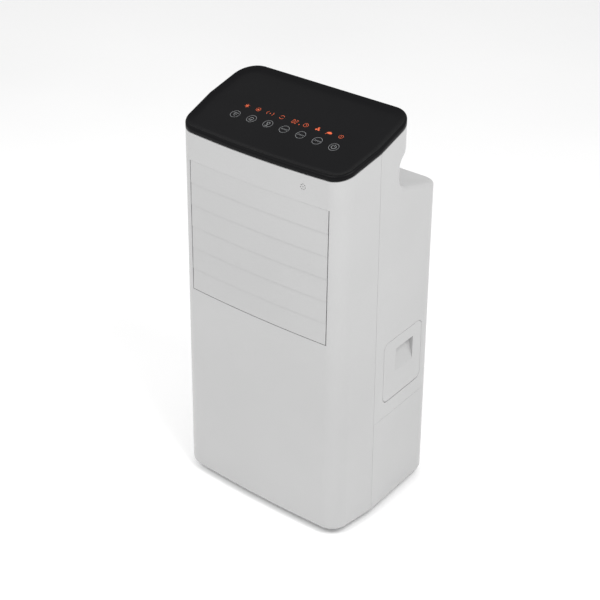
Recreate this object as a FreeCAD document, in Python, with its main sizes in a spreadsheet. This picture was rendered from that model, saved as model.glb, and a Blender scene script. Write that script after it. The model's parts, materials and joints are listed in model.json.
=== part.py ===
import FreeCAD, Part
import math
import os
from types import SimpleNamespace

import Sketcher

# A free-standing evaporative air cooler: a drafted white casing with a black touch lid, a louvred
# outlet in front, a grip recess and an intake at the back, a water tank that pulls out and a filler
# door that tilts out on the right side. Millimetres, +Z up, the front faces -Y, and the origin is on
# the floor under the middle of the casing.

document = FreeCAD.newDocument("AirCooler")
sheet = document.addObject("Spreadsheet::Sheet", "Sizes")

DRIVING_SIZES = {
    # casing
    "ground_gap": 10,
    "body_height": 590,
    "half_depth": 113,
    "seam_half_width": 148.5,
    "seam_y": -33,
    "side_draft": 3.85,
    "front_lean": 7.15,
    "front_bow": 3.5,
    "front_side_slope": 0.1124,
    "rear_side_slope": 0.0472,
    "front_radius": 27,
    "rear_radius": 27,
    "wall": 3,
    "seam_gap": 0.3,
    # sloping lid
    "head_rear_y": 44,
    "head_radius": 32,
    "lid_front_z": 547,
    "lid_slope": 0.299,
    "lid_height": 8.1,
    "lid_shadow_gap": 1,
    "rim_width": 3,
    "tray_depth": 3.5,
    # grip recess at the back
    "grip_wall_y": 13.2,
    "grip_roof_z": 541.5,
    "grip_roof_slope": 0.6,
    "grip_roof_radius": 14,
    "shoulder_z": 504.7,
    "shoulder_slope": 0.267,
    "shoulder_radius": 20,
    "grip_edge_radius": 6,
    "skirt_radius": 7,
    # air outlet, measured along the leaning front
    "outlet_half_width": 118.6,
    "outlet_low": 303,
    "outlet_high": 499,
    "slat_half_width": 117.3,
    "slat_thick": 2.4,
    "slat_gap": 0.35,
    "slat_bow": 3.7,
    "slat_low_gap": 1.1,
    "slat_axis_depth": 9,
    "slat_tilt": 1.1,
    "louvre_arm": 9,
    "cheek_inner": 118.8,
    "cheek_thick": 1.6,
    "frame_depth": 56,
    "vane_pitch": 38,
    "vane_axis_depth": 34,
    "vane_depth": 20,
    "vane_arm": 16,
    # fan
    "fan_y": -3,
    "fan_z": 402,
    "fan_radius": 46,
    "fan_left": -108,
    "fan_right": 84,
    "shaft_radius": 3,
    # cooling stack
    "pad_half_width": 94,
    "pad_front_y": 66,
    "pad_rear_y": 94,
    "pad_low_z": 192,
    "pad_high_z": 440,
    "frame_wall": 2.5,
    "grille_half_width": 96,
    "grille_low_z": 186,
    "grille_high_z": 446,
    # water tank
    "tank_seam_z": 159,
    "pan_top_z": 45,
    "tank_floor": 3,
    # filler door on the right side
    "door_front_y": -12.3,
    "door_rear_y": 81.7,
    "door_low_z": 182.5,
    "door_high_z": 279,
    "door_radius": 11,
    "door_gap": 0.5,
    "door_low_gap": 1.3,
    "scoop_front_y": 17,
    "scoop_rear_y": 60,
    "scoop_low_z": 223,
    "scoop_high_z": 260,
    "scoop_depth": 9.5,
    # casters
    "caster_x": 110,
    "caster_front_y": -76,
    "caster_rear_y": 58,
    "wheel_radius": 14,
    "wheel_width": 13,
    "caster_trail": 8,
    "axle_radius": 1.6,
    "stem_radius": 4,
    "running_gap": 0.06,
}

for row, (alias, value) in enumerate(DRIVING_SIZES.items(), 1):
    sheet.set("A%d" % row, alias)
    sheet.set("B%d" % row, str(value))
    sheet.setAlias("B%d" % row, alias)
document.recompute()


class Size:
    """A number together with the spreadsheet formula that gives it."""

    def __init__(self, value, formula):
        self.value = float(value)
        self.formula = formula

    def __add__(self, other):
        other = as_size(other)
        return Size(self.value + other.value, "(%s + %s)" % (self.formula, other.formula))

    def __sub__(self, other):
        other = as_size(other)
        return Size(self.value - other.value, "(%s - %s)" % (self.formula, other.formula))

    def __mul__(self, other):
        other = as_size(other)
        return Size(self.value * other.value, "(%s * %s)" % (self.formula, other.formula))

    def __truediv__(self, other):
        other = as_size(other)
        return Size(self.value / other.value, "(%s / %s)" % (self.formula, other.formula))

    def __neg__(self):
        return Size(-self.value, "(0 - %s)" % self.formula)

    def __radd__(self, other):
        return as_size(other) + self

    def __rsub__(self, other):
        return as_size(other) - self

    def __rmul__(self, other):
        return as_size(other) * self


def as_size(number):
    """Makes a Size of a plain number and leaves a Size as it is."""
    if isinstance(number, Size):
        return number
    text = "%.6f" % number
    return Size(number, text if number >= 0 else "(0 - %.6f)" % -number)


dim = SimpleNamespace(**{name: Size(value, "Sizes." + name) for name, value in DRIVING_SIZES.items()})
nodes = {}


# ---------------------------------------------------------------- building blocks


def bind(feature, name, size):
    """Ties one property of a document object to the spreadsheet."""
    feature.setExpression(name, as_size(size).formula)


def box(label, x, y, z):
    """A box between three pairs of coordinates."""
    feature = document.addObject("Part::Box", label)
    for prop, axis, (low, high) in (("Length", "x", x), ("Width", "y", y), ("Height", "z", z)):
        bind(feature, prop, as_size(high) - low)
        bind(feature, "Placement.Base." + axis, low)
    return feature


TURN = {
    "X": FreeCAD.Rotation(FreeCAD.Vector(0, 1, 0), 90),
    "Y": FreeCAD.Rotation(FreeCAD.Vector(1, 0, 0), -90),
    "Z": FreeCAD.Rotation(),
}


def rod(label, direction, centre, radius, low, high):
    """A cylinder along one axis; centre gives its other two coordinates in X, Y, Z order."""
    feature = document.addObject("Part::Cylinder", label)
    bind(feature, "Radius", radius)
    bind(feature, "Height", as_size(high) - low)
    feature.Placement = FreeCAD.Placement(FreeCAD.Vector(), TURN[direction])
    places = {
        "X": (low, centre[0], centre[1]),
        "Y": (centre[0], low, centre[1]),
        "Z": (centre[0], centre[1], low),
    }
    for axis, place in zip("xyz", places[direction]):
        bind(feature, "Placement.Base." + axis, place)
    return feature


def fuse(label, *parts):
    """One solid out of several."""
    feature = document.addObject("Part::MultiFuse", label)
    feature.Shapes = list(parts)
    return feature


def cut(label, base, *tools):
    """The base with every tool taken away."""
    feature = document.addObject("Part::Cut", label)
    feature.Base = base
    feature.Tool = tools[0] if len(tools) == 1 else fuse(label + "_tools", *tools)
    return feature


def common(label, *parts):
    """What several solids share."""
    feature = document.addObject("Part::MultiCommon", label)
    feature.Shapes = list(parts)
    return feature


def plane_of(body, role):
    """An origin plane of a body, found by its role."""
    return [feature for feature in body.Origin.OriginFeatures if feature.Role == role][0]


def outline(body, label, role, corners, offset, arcs=None):
    """A closed sketch on an origin plane. arcs gives each curved edge's swell and radius."""
    arcs = arcs or {}
    sketch = body.newObject("Sketcher::SketchObject", label)
    sketch.AttachmentSupport = [(plane_of(body, role), "")]
    sketch.MapMode = "FlatFace"
    bind(sketch, "AttachmentOffset.Base.z", offset)
    corners = [(as_size(across), as_size(up)) for across, up in corners]
    points = [FreeCAD.Vector(across.value, up.value, 0) for across, up in corners]
    ends = []
    for index, start in enumerate(points):
        finish = points[(index + 1) % len(points)]
        if index not in arcs:
            sketch.addGeometry(Part.LineSegment(start, finish), False)
            ends.append((1, 2))
            continue
        swell, radius = [as_size(value) for value in arcs[index]]
        along = (finish - start).normalize()
        outward = FreeCAD.Vector(along.y, -along.x, 0)
        middle = (start + finish) * 0.5 + outward * swell.value
        sketch.addGeometry(Part.Arc(start, middle, finish), False)
        ends.append((1, 2) if swell.value > 0 else (2, 1))
        constraint = sketch.addConstraint(Sketcher.Constraint("Radius", index, radius.value))
        bind(sketch, "Constraints[%d]" % constraint, radius)
    for index in range(len(points)):
        following = (index + 1) % len(points)
        sketch.addConstraint(
            Sketcher.Constraint("Coincident", index, ends[index][1], following, ends[following][0])
        )
        for kind, place in zip(("DistanceX", "DistanceY"), corners[index]):
            constraint = sketch.addConstraint(
                Sketcher.Constraint(kind, -1, 1, index, ends[index][0], place.value)
            )
            bind(sketch, "Constraints[%d]" % constraint, place)
    return sketch


def bow(half_chord, swell):
    """The arc entry of a shallow bow across a level chord."""
    swell = as_size(swell)
    half_chord = as_size(half_chord)
    radius = (half_chord * half_chord + swell * swell) / (swell * 2)
    return (swell, radius if swell.value > 0 else -radius)


SAME_PLACE = 0.01


def round_edges(body, radius, wanted):
    """Fillets the edges of a body's tip that the wanted function picks."""
    document.recompute()
    base = body.Tip
    names = ["Edge%d" % (n + 1) for n, edge in enumerate(base.Shape.Edges) if wanted(edge)]
    fillet = body.newObject("PartDesign::Fillet", body.Name + "_round")
    fillet.Base = (base, names)
    bind(fillet, "Radius", radius)
    body.Tip = fillet
    return body


FLAT_AXES = {"XY_Plane": ("x", "y"), "XZ_Plane": ("x", "z"), "YZ_Plane": ("y", "z")}


def prism(label, role, corners, low, high, rounds=None, arcs=None):
    """A straight prism. rounds gives corner numbers with a fillet radius."""
    body = document.addObject("PartDesign::Body", label)
    offset = -as_size(high) if role == "XZ_Plane" else as_size(low)
    sketch = outline(body, label + "_outline", role, corners, offset, arcs)
    pad = body.newObject("PartDesign::Pad", label + "_pad")
    pad.Profile = sketch
    bind(pad, "Length", as_size(high) - low)
    body.Tip = pad
    first, second = FLAT_AXES[role]
    for corner, radius in (rounds or {}).items():
        across, up = [as_size(value).value for value in corners[corner]]

        def at_corner(edge, across=across, up=up):
            return len(edge.Vertexes) == 2 and all(
                abs(getattr(vertex.Point, first) - across) < SAME_PLACE
                and abs(getattr(vertex.Point, second) - up) < SAME_PLACE
                for vertex in edge.Vertexes
            )

        round_edges(body, radius, at_corner)
    return body


def turned(label, profile, centre, direction="Z"):
    """A turned solid: the profile is (radius, height) pairs about an axis through centre."""
    body = document.addObject("PartDesign::Body", label)
    sketch = outline(body, label + "_profile", "XZ_Plane", profile, 0)
    revolution = body.newObject("PartDesign::Revolution", label + "_turn")
    revolution.Profile = sketch
    revolution.ReferenceAxis = (sketch, ["V_Axis"])
    revolution.Angle = 360
    body.Tip = revolution
    body.Placement = FreeCAD.Placement(FreeCAD.Vector(), TURN[direction])
    for axis, place in zip("xyz", centre):
        bind(body, "Placement.Base." + axis, place)
    return body


def placed(feature, rotation, x=0, y=0, z=0):
    """Turns and moves a finished feature. A primitive keeps its own placement inside a group that moves."""
    if feature.TypeId in ("Part::Box", "Part::Cylinder"):
        group = document.addObject("Part::Compound", feature.Name + "_placed")
        group.Links = [feature]
        feature = group
    feature.Placement = FreeCAD.Placement(FreeCAD.Vector(), rotation)
    for axis, place in zip("xyz", (x, y, z)):
        bind(feature, "Placement.Base." + axis, place)
    return feature


def node(label, feature):
    """Names a finished sub-part."""
    feature.Label = label
    nodes[label] = feature
    return feature


# ---------------------------------------------------------------- casing solids

body_top_z = dim.ground_gap + dim.body_height


def corner_reach(side_slope):
    """Tangent length and swell of a corner arc of radius 1 beside a wall that leans by side_slope."""
    half_turn = (math.pi / 2 - math.atan(side_slope)) / 2
    return math.tan(half_turn), 1 - math.cos(half_turn)


def casing_outline(height, inset, rear_y, rear_radius):
    """The casing's outline at one height above the floor: its corners, and which edges are arcs."""
    rise = (as_size(height) - dim.ground_gap) / dim.body_height
    front_y = inset + dim.front_bow + dim.front_lean * rise - dim.half_depth
    seam_x = dim.seam_half_width - dim.side_draft * rise - inset
    front_x = seam_x - (dim.seam_y - front_y) * dim.front_side_slope
    rear_edge_y = rear_y - inset
    rear_x = seam_x - (rear_edge_y - dim.seam_y) * dim.rear_side_slope
    front_radius = dim.front_radius - inset
    back_radius = rear_radius - inset
    front_slope = dim.front_side_slope.value
    back_slope = dim.rear_side_slope.value
    front_tangent, front_swell = corner_reach(front_slope)
    back_tangent, back_swell = corner_reach(back_slope)
    reach = front_radius * front_tangent
    back_reach = back_radius * back_tangent
    front_angle = math.atan(front_slope)
    back_angle = math.atan(back_slope)
    half = [
        (front_x - reach, front_y),
        (front_x + reach * math.sin(front_angle), front_y + reach * math.cos(front_angle)),
        (seam_x, dim.seam_y),
        (rear_x + back_reach * math.sin(back_angle), rear_edge_y - back_reach * math.cos(back_angle)),
        (rear_x - back_reach, rear_edge_y),
    ]
    corners = half + [(-x, y) for x, y in reversed(half)]
    front_arc = (front_radius * front_swell, front_radius)
    back_arc = (back_radius * back_swell, back_radius)
    arcs = {0: front_arc, 3: back_arc, 5: back_arc, 8: front_arc, 9: bow(front_x - reach, dim.front_bow)}
    return corners, arcs


def casing_solid(label, inset, rear_y, rear_radius, low_z, high_z):
    """A drafted solid with the casing's outline, inset from it on every side."""
    body = document.addObject("PartDesign::Body", label)
    sections = []
    for name, height in (("_low", low_z), ("_high", high_z)):
        corners, arcs = casing_outline(height, inset, rear_y, rear_radius)
        sections.append(outline(body, label + name, "XY_Plane", corners, height, arcs))
    loft = body.newObject("PartDesign::AdditiveLoft", label + "_loft")
    loft.Profile = sections[0]
    loft.Sections = [sections[1]]
    loft.Ruled = True
    body.Tip = loft
    return body


lean_degrees = math.degrees(math.atan2(dim.front_lean.value, dim.body_height.value))
lean = FreeCAD.Rotation(FreeCAD.Vector(1, 0, 0), -lean_degrees)
MARGIN = 40
WIDE = 200
GRIP_RIM_LOW = 470
GRIP_RIM_HIGH = 565


def above_shoulder(label, inset):
    """Everything above the sloping shoulder behind the grip recess."""
    wall_y = dim.grip_wall_y - inset
    far_y = dim.half_depth + MARGIN
    low = dim.shoulder_z - inset
    far_z = low - (far_y - wall_y) * dim.shoulder_slope
    corners = [(wall_y, low), (far_y, far_z), (far_y, body_top_z + MARGIN), (wall_y, body_top_z + MARGIN)]
    return prism(label, "YZ_Plane", corners, -WIDE, WIDE, {0: dim.shoulder_radius + inset})


def under_grip_roof(label, inset):
    """Everything behind the grip recess's front wall and below its sloping roof."""
    wall_y = dim.grip_wall_y - inset
    far_y = dim.half_depth + MARGIN
    roof = dim.grip_roof_z + inset
    far_z = roof + (far_y - wall_y) * dim.grip_roof_slope
    low_z = dim.ground_gap - MARGIN
    corners = [(wall_y, low_z), (far_y, low_z), (far_y, far_z), (wall_y, roof)]
    return prism(label, "YZ_Plane", corners, -WIDE, WIDE, {3: dim.grip_roof_radius + inset})


def lid_plane_z(y, lift):
    """Height of the lid's sloping seat at a depth, raised by lift."""
    return dim.lid_front_z + lift + (as_size(y) + dim.half_depth - dim.front_lean) * dim.lid_slope


def above_lid_plane(label, lift):
    """Everything above the plane that the lid sits on."""
    near_y = -dim.half_depth - MARGIN
    far_y = dim.half_depth + MARGIN
    top = body_top_z + 3 * MARGIN
    corners = [
        (near_y, lid_plane_z(near_y, lift)), (far_y, lid_plane_z(far_y, lift)), (far_y, top), (near_y, top),
    ]
    return prism(label, "YZ_Plane", corners, -WIDE, WIDE)


def whole_casing(label, inset, low_z, high_z):
    """The lower casing and the head above it, with the grip recess between them."""
    inset = as_size(inset)
    full = casing_solid(label + "_full", inset, dim.half_depth, dim.rear_radius, low_z, high_z)
    head = casing_solid(label + "_head", inset, dim.head_rear_y, dim.head_radius, low_z, high_z)
    lower = cut(label + "_lower", full, above_shoulder(label + "_shoulder", inset))
    upper = cut(label + "_upper", head, under_grip_roof(label + "_roof", inset))
    return fuse(label, lower, upper)


def on_grip_rim(edge):
    """Whether an edge runs along the rim of the grip recess: its roof's lip, its sides, or the shoulder."""
    place = edge.BoundBox
    if place.ZMin < GRIP_RIM_LOW or place.ZMax > GRIP_RIM_HIGH or place.YMax < dim.grip_wall_y.value + 0.1:
        return False
    across = place.YLength < SAME_PLACE and place.XLength > WIDE
    return place.ZLength > 0.5 or not across or place.YMax > dim.head_rear_y.value - 1


def rounded_where(label, base, radius, wanted):
    """Rounds the edges of a solid that the wanted function picks."""
    document.recompute()
    feature = document.addObject("Part::Fillet", label)
    feature.Base = base
    feature.Edges = [(n, radius, radius) for n, edge in enumerate(base.Shape.Edges, 1) if wanted(edge)]
    return feature


def on_skirt(edge):
    """Whether an edge runs along the casing's lower edge."""
    return all(abs(vertex.Z - dim.ground_gap.value) < SAME_PLACE for vertex in edge.Vertexes)


below_floor_z = dim.ground_gap - MARGIN
above_lid_z = body_top_z + MARGIN
sharp_casing = whole_casing("casing_outside", 0, below_floor_z, above_lid_z)
rounded_casing = rounded_where("casing_rounded", sharp_casing, dim.grip_edge_radius.value, on_grip_rim)
below_skirt = box("below_skirt", (-WIDE, WIDE), (-WIDE, WIDE), (below_floor_z - MARGIN, dim.ground_gap))
trimmed_casing = cut("casing_trimmed", rounded_casing, below_skirt)
outer = rounded_where("casing_outer", trimmed_casing, dim.skirt_radius.value, on_skirt)
inner = whole_casing("casing_inside", dim.wall, below_floor_z, above_lid_z)
casing_shell = cut("casing_shell", outer, inner, above_lid_plane("above_seat", 0))

# The back of the casing, split at the side seam. Everything in front of it is the front shell.
half_seam = dim.seam_gap / 2
behind_seam = (dim.seam_y + half_seam, WIDE)
before_seam = (-WIDE, dim.seam_y - half_seam)
full_width = (-WIDE, WIDE)
full_height = (below_floor_z, above_lid_z)


# ---------------------------------------------------------------- front shell and outlet


def on_front(feature):
    """Leans a feature that was built along the front face: x, depth behind the face, distance up the face."""
    return placed(feature, lean, y=-dim.half_depth, z=dim.ground_gap)


# The lowest slat's edge dips as it swings in, so the lower edge of the window is relieved behind its lip.
REBATE_SIDE = 4.2
REBATE_DEPTH = 6.1
WINDOW_LIP = 1.2
window_x = (-dim.outlet_half_width, dim.outlet_half_width)
relief_depth = dim.slat_bow + WINDOW_LIP
outlet_hole = on_front(
    fuse(
        "outlet_hole",
        box("outlet_window", window_x, (-10, 30), (dim.outlet_low, dim.outlet_high)),
        prism(
            "outlet_relief", "XY_Plane",
            [
                (window_x[0], relief_depth),
                (window_x[1], relief_depth),
                (window_x[1], 30),
                (window_x[0], 30),
            ],
            dim.outlet_low - 1.5, dim.outlet_low + 1,
            arcs={0: bow(dim.outlet_half_width, dim.slat_bow)},
        ),
        box(
            "outlet_rebate",
            (-dim.outlet_half_width - REBATE_SIDE, dim.outlet_half_width + REBATE_SIDE),
            (REBATE_DEPTH, 40),
            (dim.outlet_low - 6, dim.outlet_high + 6),
        ),
    )
)
SENSOR_X = 77.6
SENSOR_UP = 520.6
SENSOR_RING = 3.6
sensor_holes = [rod("sensor_hole_0", "Y", (SENSOR_X, SENSOR_UP), 0.8, -10, 20)]
for index in range(7):
    angle = 2 * math.pi * index / 7
    place = (SENSOR_X + SENSOR_RING * math.sin(angle), SENSOR_UP + SENSOR_RING * math.cos(angle))
    sensor_holes.append(rod("sensor_hole_%d" % (index + 1), "Y", place, 0.8, -10, 20))
sensor_tool = on_front(fuse("sensor_holes", *sensor_holes))
front_part = common("front_part", casing_shell, box("front_half", full_width, before_seam, full_height))
node("front_shell", cut("front_shell_solid", front_part, outlet_hole, sensor_tool))

# Six slats close the outlet. Each turns on two pins in the outlet frame's cheeks, and the arm on its
# left pin carries the link bar that turns them together.
SLATS = 6
slat_pitch = (dim.outlet_high - dim.outlet_low - dim.slat_low_gap) / SLATS
slat_height = slat_pitch - dim.slat_gap
PIN_RADIUS = 1.4
pin_hole = dim.running_gap + PIN_RADIUS
ARM_THICK = 1.7
arm_high_x = -dim.cheek_inner - dim.cheek_thick - 0.3
arm_low_x = arm_high_x - ARM_THICK
LINK_THICK = 2.2
link_high_x = arm_low_x - 0.4
link_low_x = link_high_x - LINK_THICK
link_depth = dim.slat_axis_depth + dim.louvre_arm


def slat_up(index):
    """Height up the front face of a slat's axis, counted from the bottom one."""
    return dim.outlet_low + dim.slat_low_gap + slat_pitch * (index + 0.5)


def make_slat(index):
    label = "slat_%d" % index
    up = slat_up(index)
    depth = dim.slat_axis_depth
    side = dim.slat_half_width
    swell = dim.slat_bow
    corners = [
        (-side, swell), (side, swell), (side, swell + dim.slat_thick), (-side, swell + dim.slat_thick),
    ]
    plate = prism(
        label + "_plate", "XY_Plane", corners, -slat_height / 2, slat_height / 2,
        arcs={0: bow(side, swell), 2: bow(side, -swell)},
    )
    plate.Placement.Rotation = FreeCAD.Rotation(FreeCAD.Vector(1, 0, 0), -dim.slat_tilt.value)
    bind(plate, "Placement.Base.z", up)
    lug_y = (swell + dim.slat_thick - 0.6, depth + 2.2)
    lug_z = (up - 2.6, up + 2.6)
    parts = [
        plate,
        box(label + "_left_lug", (-side, 4 - side), lug_y, lug_z),
        box(label + "_right_lug", (side - 4, side), lug_y, lug_z),
        rod(label + "_left_pin", "X", (depth, up), PIN_RADIUS, arm_low_x, 1 - side),
        rod(
            label + "_right_pin", "X", (depth, up), PIN_RADIUS, side - 1, dim.cheek_inner + dim.cheek_thick,
        ),
        rod(label + "_hub", "X", (depth, up), 2.6, arm_low_x, arm_high_x),
        box(label + "_arm", (arm_low_x, arm_high_x), (depth, link_depth), (up - 2, up + 2)),
        rod(label + "_arm_end", "X", (link_depth, up), 2.6, arm_low_x, arm_high_x),
        rod(label + "_arm_pin", "X", (link_depth, up), PIN_RADIUS, link_low_x, arm_high_x),
    ]
    return node("louvre_slat_%d" % (index + 1), on_front(fuse(label, *parts)))


for slat in range(SLATS):
    make_slat(slat)

# The link bar, with a lug to the crank that the louvre motor turns.
CRANK_SLAT = 2
crank_up = slat_up(CRANK_SLAT)
crank_depth = dim.slat_axis_depth + 24
crank_pin_depth = crank_depth + dim.louvre_arm
link_half = 2.7
link_x = (link_low_x, link_high_x)
link_body = fuse(
    "link_bar_solid",
    box(
        "link_bar",
        link_x,
        (link_depth - link_half, link_depth + link_half),
        (slat_up(0) - 4, slat_up(SLATS - 1) + 4),
    ),
    box("link_lug", link_x, (link_depth, crank_pin_depth + 3), (crank_up - 3, crank_up + 3)),
)
link_holes = [
    rod(
        "link_hole_%d" % index,
        "X",
        (link_depth, slat_up(index)),
        pin_hole,
        link_low_x - 1,
        link_high_x + 1,
    )
    for index in range(SLATS)
]
link_holes.append(
    rod("link_crank_hole", "X", (crank_pin_depth, crank_up), pin_hole, link_low_x - 1, link_high_x + 1)
)
node("louvre_link", on_front(cut("louvre_link_solid", link_body, *link_holes)))

crank_high_x = link_low_x - 0.4
crank_low_x = crank_high_x - 1.8
crank = fuse(
    "crank_solid",
    box(
        "crank_arm",
        (crank_low_x, crank_high_x),
        (crank_depth, crank_pin_depth),
        (crank_up - 2, crank_up + 2),
    ),
    rod("crank_hub", "X", (crank_depth, crank_up), 3, crank_low_x, crank_high_x),
    rod("crank_end", "X", (crank_pin_depth, crank_up), 2.6, crank_low_x, crank_high_x),
    rod("crank_pin", "X", (crank_pin_depth, crank_up), PIN_RADIUS, crank_low_x, link_high_x),
    rod("crank_shaft", "X", (crank_depth, crank_up), 1.5, crank_low_x - 3, crank_high_x),
)
node("louvre_crank", on_front(crank))

MOTOR_RADIUS = 11
motor_high_x = crank_low_x - 0.4
motor_low_x = motor_high_x - 8
EAR_OFFSET = 16
motor_solid = fuse(
    "louvre_motor_solid",
    rod("louvre_motor_can", "X", (crank_depth, crank_up), MOTOR_RADIUS, motor_low_x, motor_high_x),
    box("louvre_motor_ears", (motor_high_x - 1.2, motor_high_x), (crank_depth - 3.5, crank_depth + 3.5),
        (crank_up - EAR_OFFSET - 3, crank_up + EAR_OFFSET + 3)),
)
motor_bore = rod(
    "louvre_motor_bore", "X", (crank_depth, crank_up), 1.56, motor_high_x - 3.2, motor_high_x + 1,
)
node("louvre_motor", on_front(cut("louvre_motor_body", motor_solid, motor_bore)))

# The outlet frame: cheeks, floor and roof around the slats and the swing vanes.
frame_low = dim.outlet_low - 5
frame_high = dim.outlet_high + 5
cheek_outer = dim.cheek_inner + dim.cheek_thick
frame_x = (-cheek_outer, cheek_outer)
FRAME_FRONT = 8.2
frame_tube = cut(
    "outlet_frame_tube",
    box("outlet_frame_block", frame_x, (FRAME_FRONT, dim.frame_depth), (frame_low, frame_high)),
    box(
        "outlet_frame_hollow",
        (-dim.cheek_inner, dim.cheek_inner),
        (0, dim.frame_depth + 5),
        (frame_low + 2.5, frame_high - 2.5),
    ),
)
frame_parts = [frame_tube]
frame_cuts = []
for index in range(SLATS):
    for side, low, high in (
        ("left", -cheek_outer, -dim.cheek_inner), ("right", dim.cheek_inner, cheek_outer),
    ):
        name = "cheek_%s_%d" % (side, index)
        place = (dim.slat_axis_depth, slat_up(index))
        frame_parts.append(rod(name + "_boss", "X", place, 2.7, low, high))
        frame_cuts.append(rod(name + "_hole", "X", place, pin_hole, low - 1, high + 1))
for name, up in (("low", crank_up - EAR_OFFSET), ("high", crank_up + EAR_OFFSET)):
    frame_parts.append(
        rod("motor_post_" + name, "X", (crank_depth, up), 2.4, motor_high_x, -dim.cheek_inner - 0.5)
    )

VANES = 6
vane_low = frame_low + 2.5
vane_high = frame_high - 2.5
VANE_ARM_UP = 5
VANE_ARM_THICK = 2


def vane_x(index):
    """Place of a swing vane across the outlet."""
    return dim.vane_pitch * (index - (VANES - 1) / 2)


for index in range(VANES):
    place = (vane_x(index), dim.vane_axis_depth)
    frame_cuts.append(rod("vane_hole_%d" % index, "Z", place, pin_hole, frame_low - 1, frame_high + 1))
node(
    "outlet_frame",
    on_front(cut("outlet_frame_solid", fuse("outlet_frame_body", *frame_parts), *frame_cuts)),
)

# Upright vanes behind the slats swing the air from side to side. A bar under them joins their arms.
vane_arm_depth = dim.vane_axis_depth + dim.vane_arm
BAR_THICK = 2.4
bar_low = vane_low + 0.8


def make_vane(index):
    label = "vane_%d" % index
    x = vane_x(index)
    front = dim.vane_axis_depth - 5
    arm_low = vane_low + VANE_ARM_UP
    arm_high = arm_low + VANE_ARM_THICK
    parts = [
        box(
            label + "_plate", (x - 0.9, x + 0.9), (front, front + dim.vane_depth), (arm_low, vane_high - 1),
        ),
        rod(label + "_hub", "Z", (x, dim.vane_axis_depth), 2.6, arm_low, arm_high),
        box(label + "_arm", (x - 2.6, x + 2.6), (dim.vane_axis_depth, vane_arm_depth), (arm_low, arm_high)),
        rod(label + "_arm_end", "Z", (x, vane_arm_depth), 2.6, arm_low, arm_high),
        rod(label + "_low_pin", "Z", (x, dim.vane_axis_depth), PIN_RADIUS, frame_low, arm_high),
        rod(label + "_high_pin", "Z", (x, dim.vane_axis_depth), PIN_RADIUS, vane_high - 2, frame_high),
        rod(label + "_bar_pin", "Z", (x, vane_arm_depth), PIN_RADIUS, bar_low, arm_high),
    ]
    return node("swing_vane_%d" % (index + 1), on_front(fuse(label, *parts)))


for vane in range(VANES):
    make_vane(vane)
bar_x = (vane_x(0) - 4, vane_x(VANES - 1) + 4)
bar_body = box("vane_bar", bar_x, (vane_arm_depth - 3, vane_arm_depth + 3), (bar_low, bar_low + BAR_THICK))
bar_holes = [
    rod(
        "vane_bar_hole_%d" % index,
        "Z",
        (vane_x(index), vane_arm_depth),
        pin_hole,
        bar_low - 1,
        bar_low + 5,
    )
    for index in range(VANES)
]
node("vane_link", on_front(cut("vane_link_solid", bar_body, *bar_holes)))
SWING_VANE = 2
swing_x = vane_x(SWING_VANE)
swing_can = fuse(
    "swing_motor_solid",
    rod("swing_motor_can", "Z", (swing_x, dim.vane_axis_depth), 14, frame_low - 20, frame_low - 0.3),
    box("swing_motor_ears", (swing_x - 21, swing_x + 21), (
        dim.vane_axis_depth - 4, dim.vane_axis_depth + 4,
    ),
        (frame_low - 1.5, frame_low - 0.3)),
)
node("swing_motor", on_front(swing_can))


# ---------------------------------------------------------------- rear shell, filler door and intake

side_turn = FreeCAD.Rotation(FreeCAD.Vector(0, 0, 1), math.degrees(math.atan(dim.rear_side_slope.value)))


def on_side(feature):
    """Places a feature built along the right rear wall: outward, distance behind the seam, height."""
    return placed(feature, side_turn, dim.seam_half_width, dim.seam_y)


def side_face(height):
    """How far the right rear wall has drawn in at a height, in the side frame."""
    return -dim.side_draft * (as_size(height) - dim.ground_gap) / dim.body_height


door_front = dim.door_front_y - dim.seam_y
door_rear = dim.door_rear_y - dim.seam_y


def door_prism(label, gap, low_gap):
    """The filler door's outline, cut straight through the side wall."""
    front = door_front + gap
    rear = door_rear - gap
    low = dim.door_low_z + low_gap
    high = dim.door_high_z - gap
    corners = [(front, low), (rear, low), (rear, high), (front, high)]
    rounds = {corner: dim.door_radius - gap for corner in range(4)}
    return on_side(prism(label, "YZ_Plane", corners, -30, 15, rounds))


HINGE_RISE = 1.5
hinge_z = dim.door_low_z + dim.door_low_gap + HINGE_RISE
hinge_x = side_face(hinge_z) - dim.wall / 2
HINGE_PIN = 1.0
door_pin_hole = rod(
    "door_pin_hole", "Y", (hinge_x, hinge_z), dim.running_gap + HINGE_PIN, door_front - 5, door_rear + 5,
)
screw_x = dim.grille_half_width + 10
SCREW_UPS = (206, 428)
screw_places = [(x, z) for z in SCREW_UPS for x in (-screw_x, screw_x)]
GLAND_X = -90
GLAND_Z = 171
GLAND_RADIUS = 6

rear_part = common(
    "rear_part",
    casing_shell,
    box("rear_upper", full_width, behind_seam, (dim.tank_seam_z + half_seam, WIDE * 4)),
)
rear_bosses = [rear_part]
rear_cuts = [
    door_prism("door_hole", 0, 0),
    on_side(door_pin_hole),
    box("grille_hole", (-dim.grille_half_width - 0.6, dim.grille_half_width + 0.6), (95, 130),
        (dim.grille_low_z - 0.6, dim.grille_high_z + 0.6)),
    rod("gland_hole", "Y", (GLAND_X, GLAND_Z), GLAND_RADIUS + 0.1, 100, 120),
]
for index, place in enumerate(screw_places):
    rear_bosses.append(
        rod("screw_boss_%d" % index, "Y", place, 5, dim.pad_rear_y + 6, dim.half_depth - dim.wall + 0.5)
    )
    rear_cuts.append(rod("screw_way_%d" % index, "Y", place, 2.2, 90, 120))
    rear_cuts.append(rod("screw_seat_%d" % index, "Y", place, 4.3, dim.half_depth - 1.9, 120))
node("rear_shell", cut("rear_shell_solid", fuse("rear_shell_body", *rear_bosses), *rear_cuts))

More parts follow.
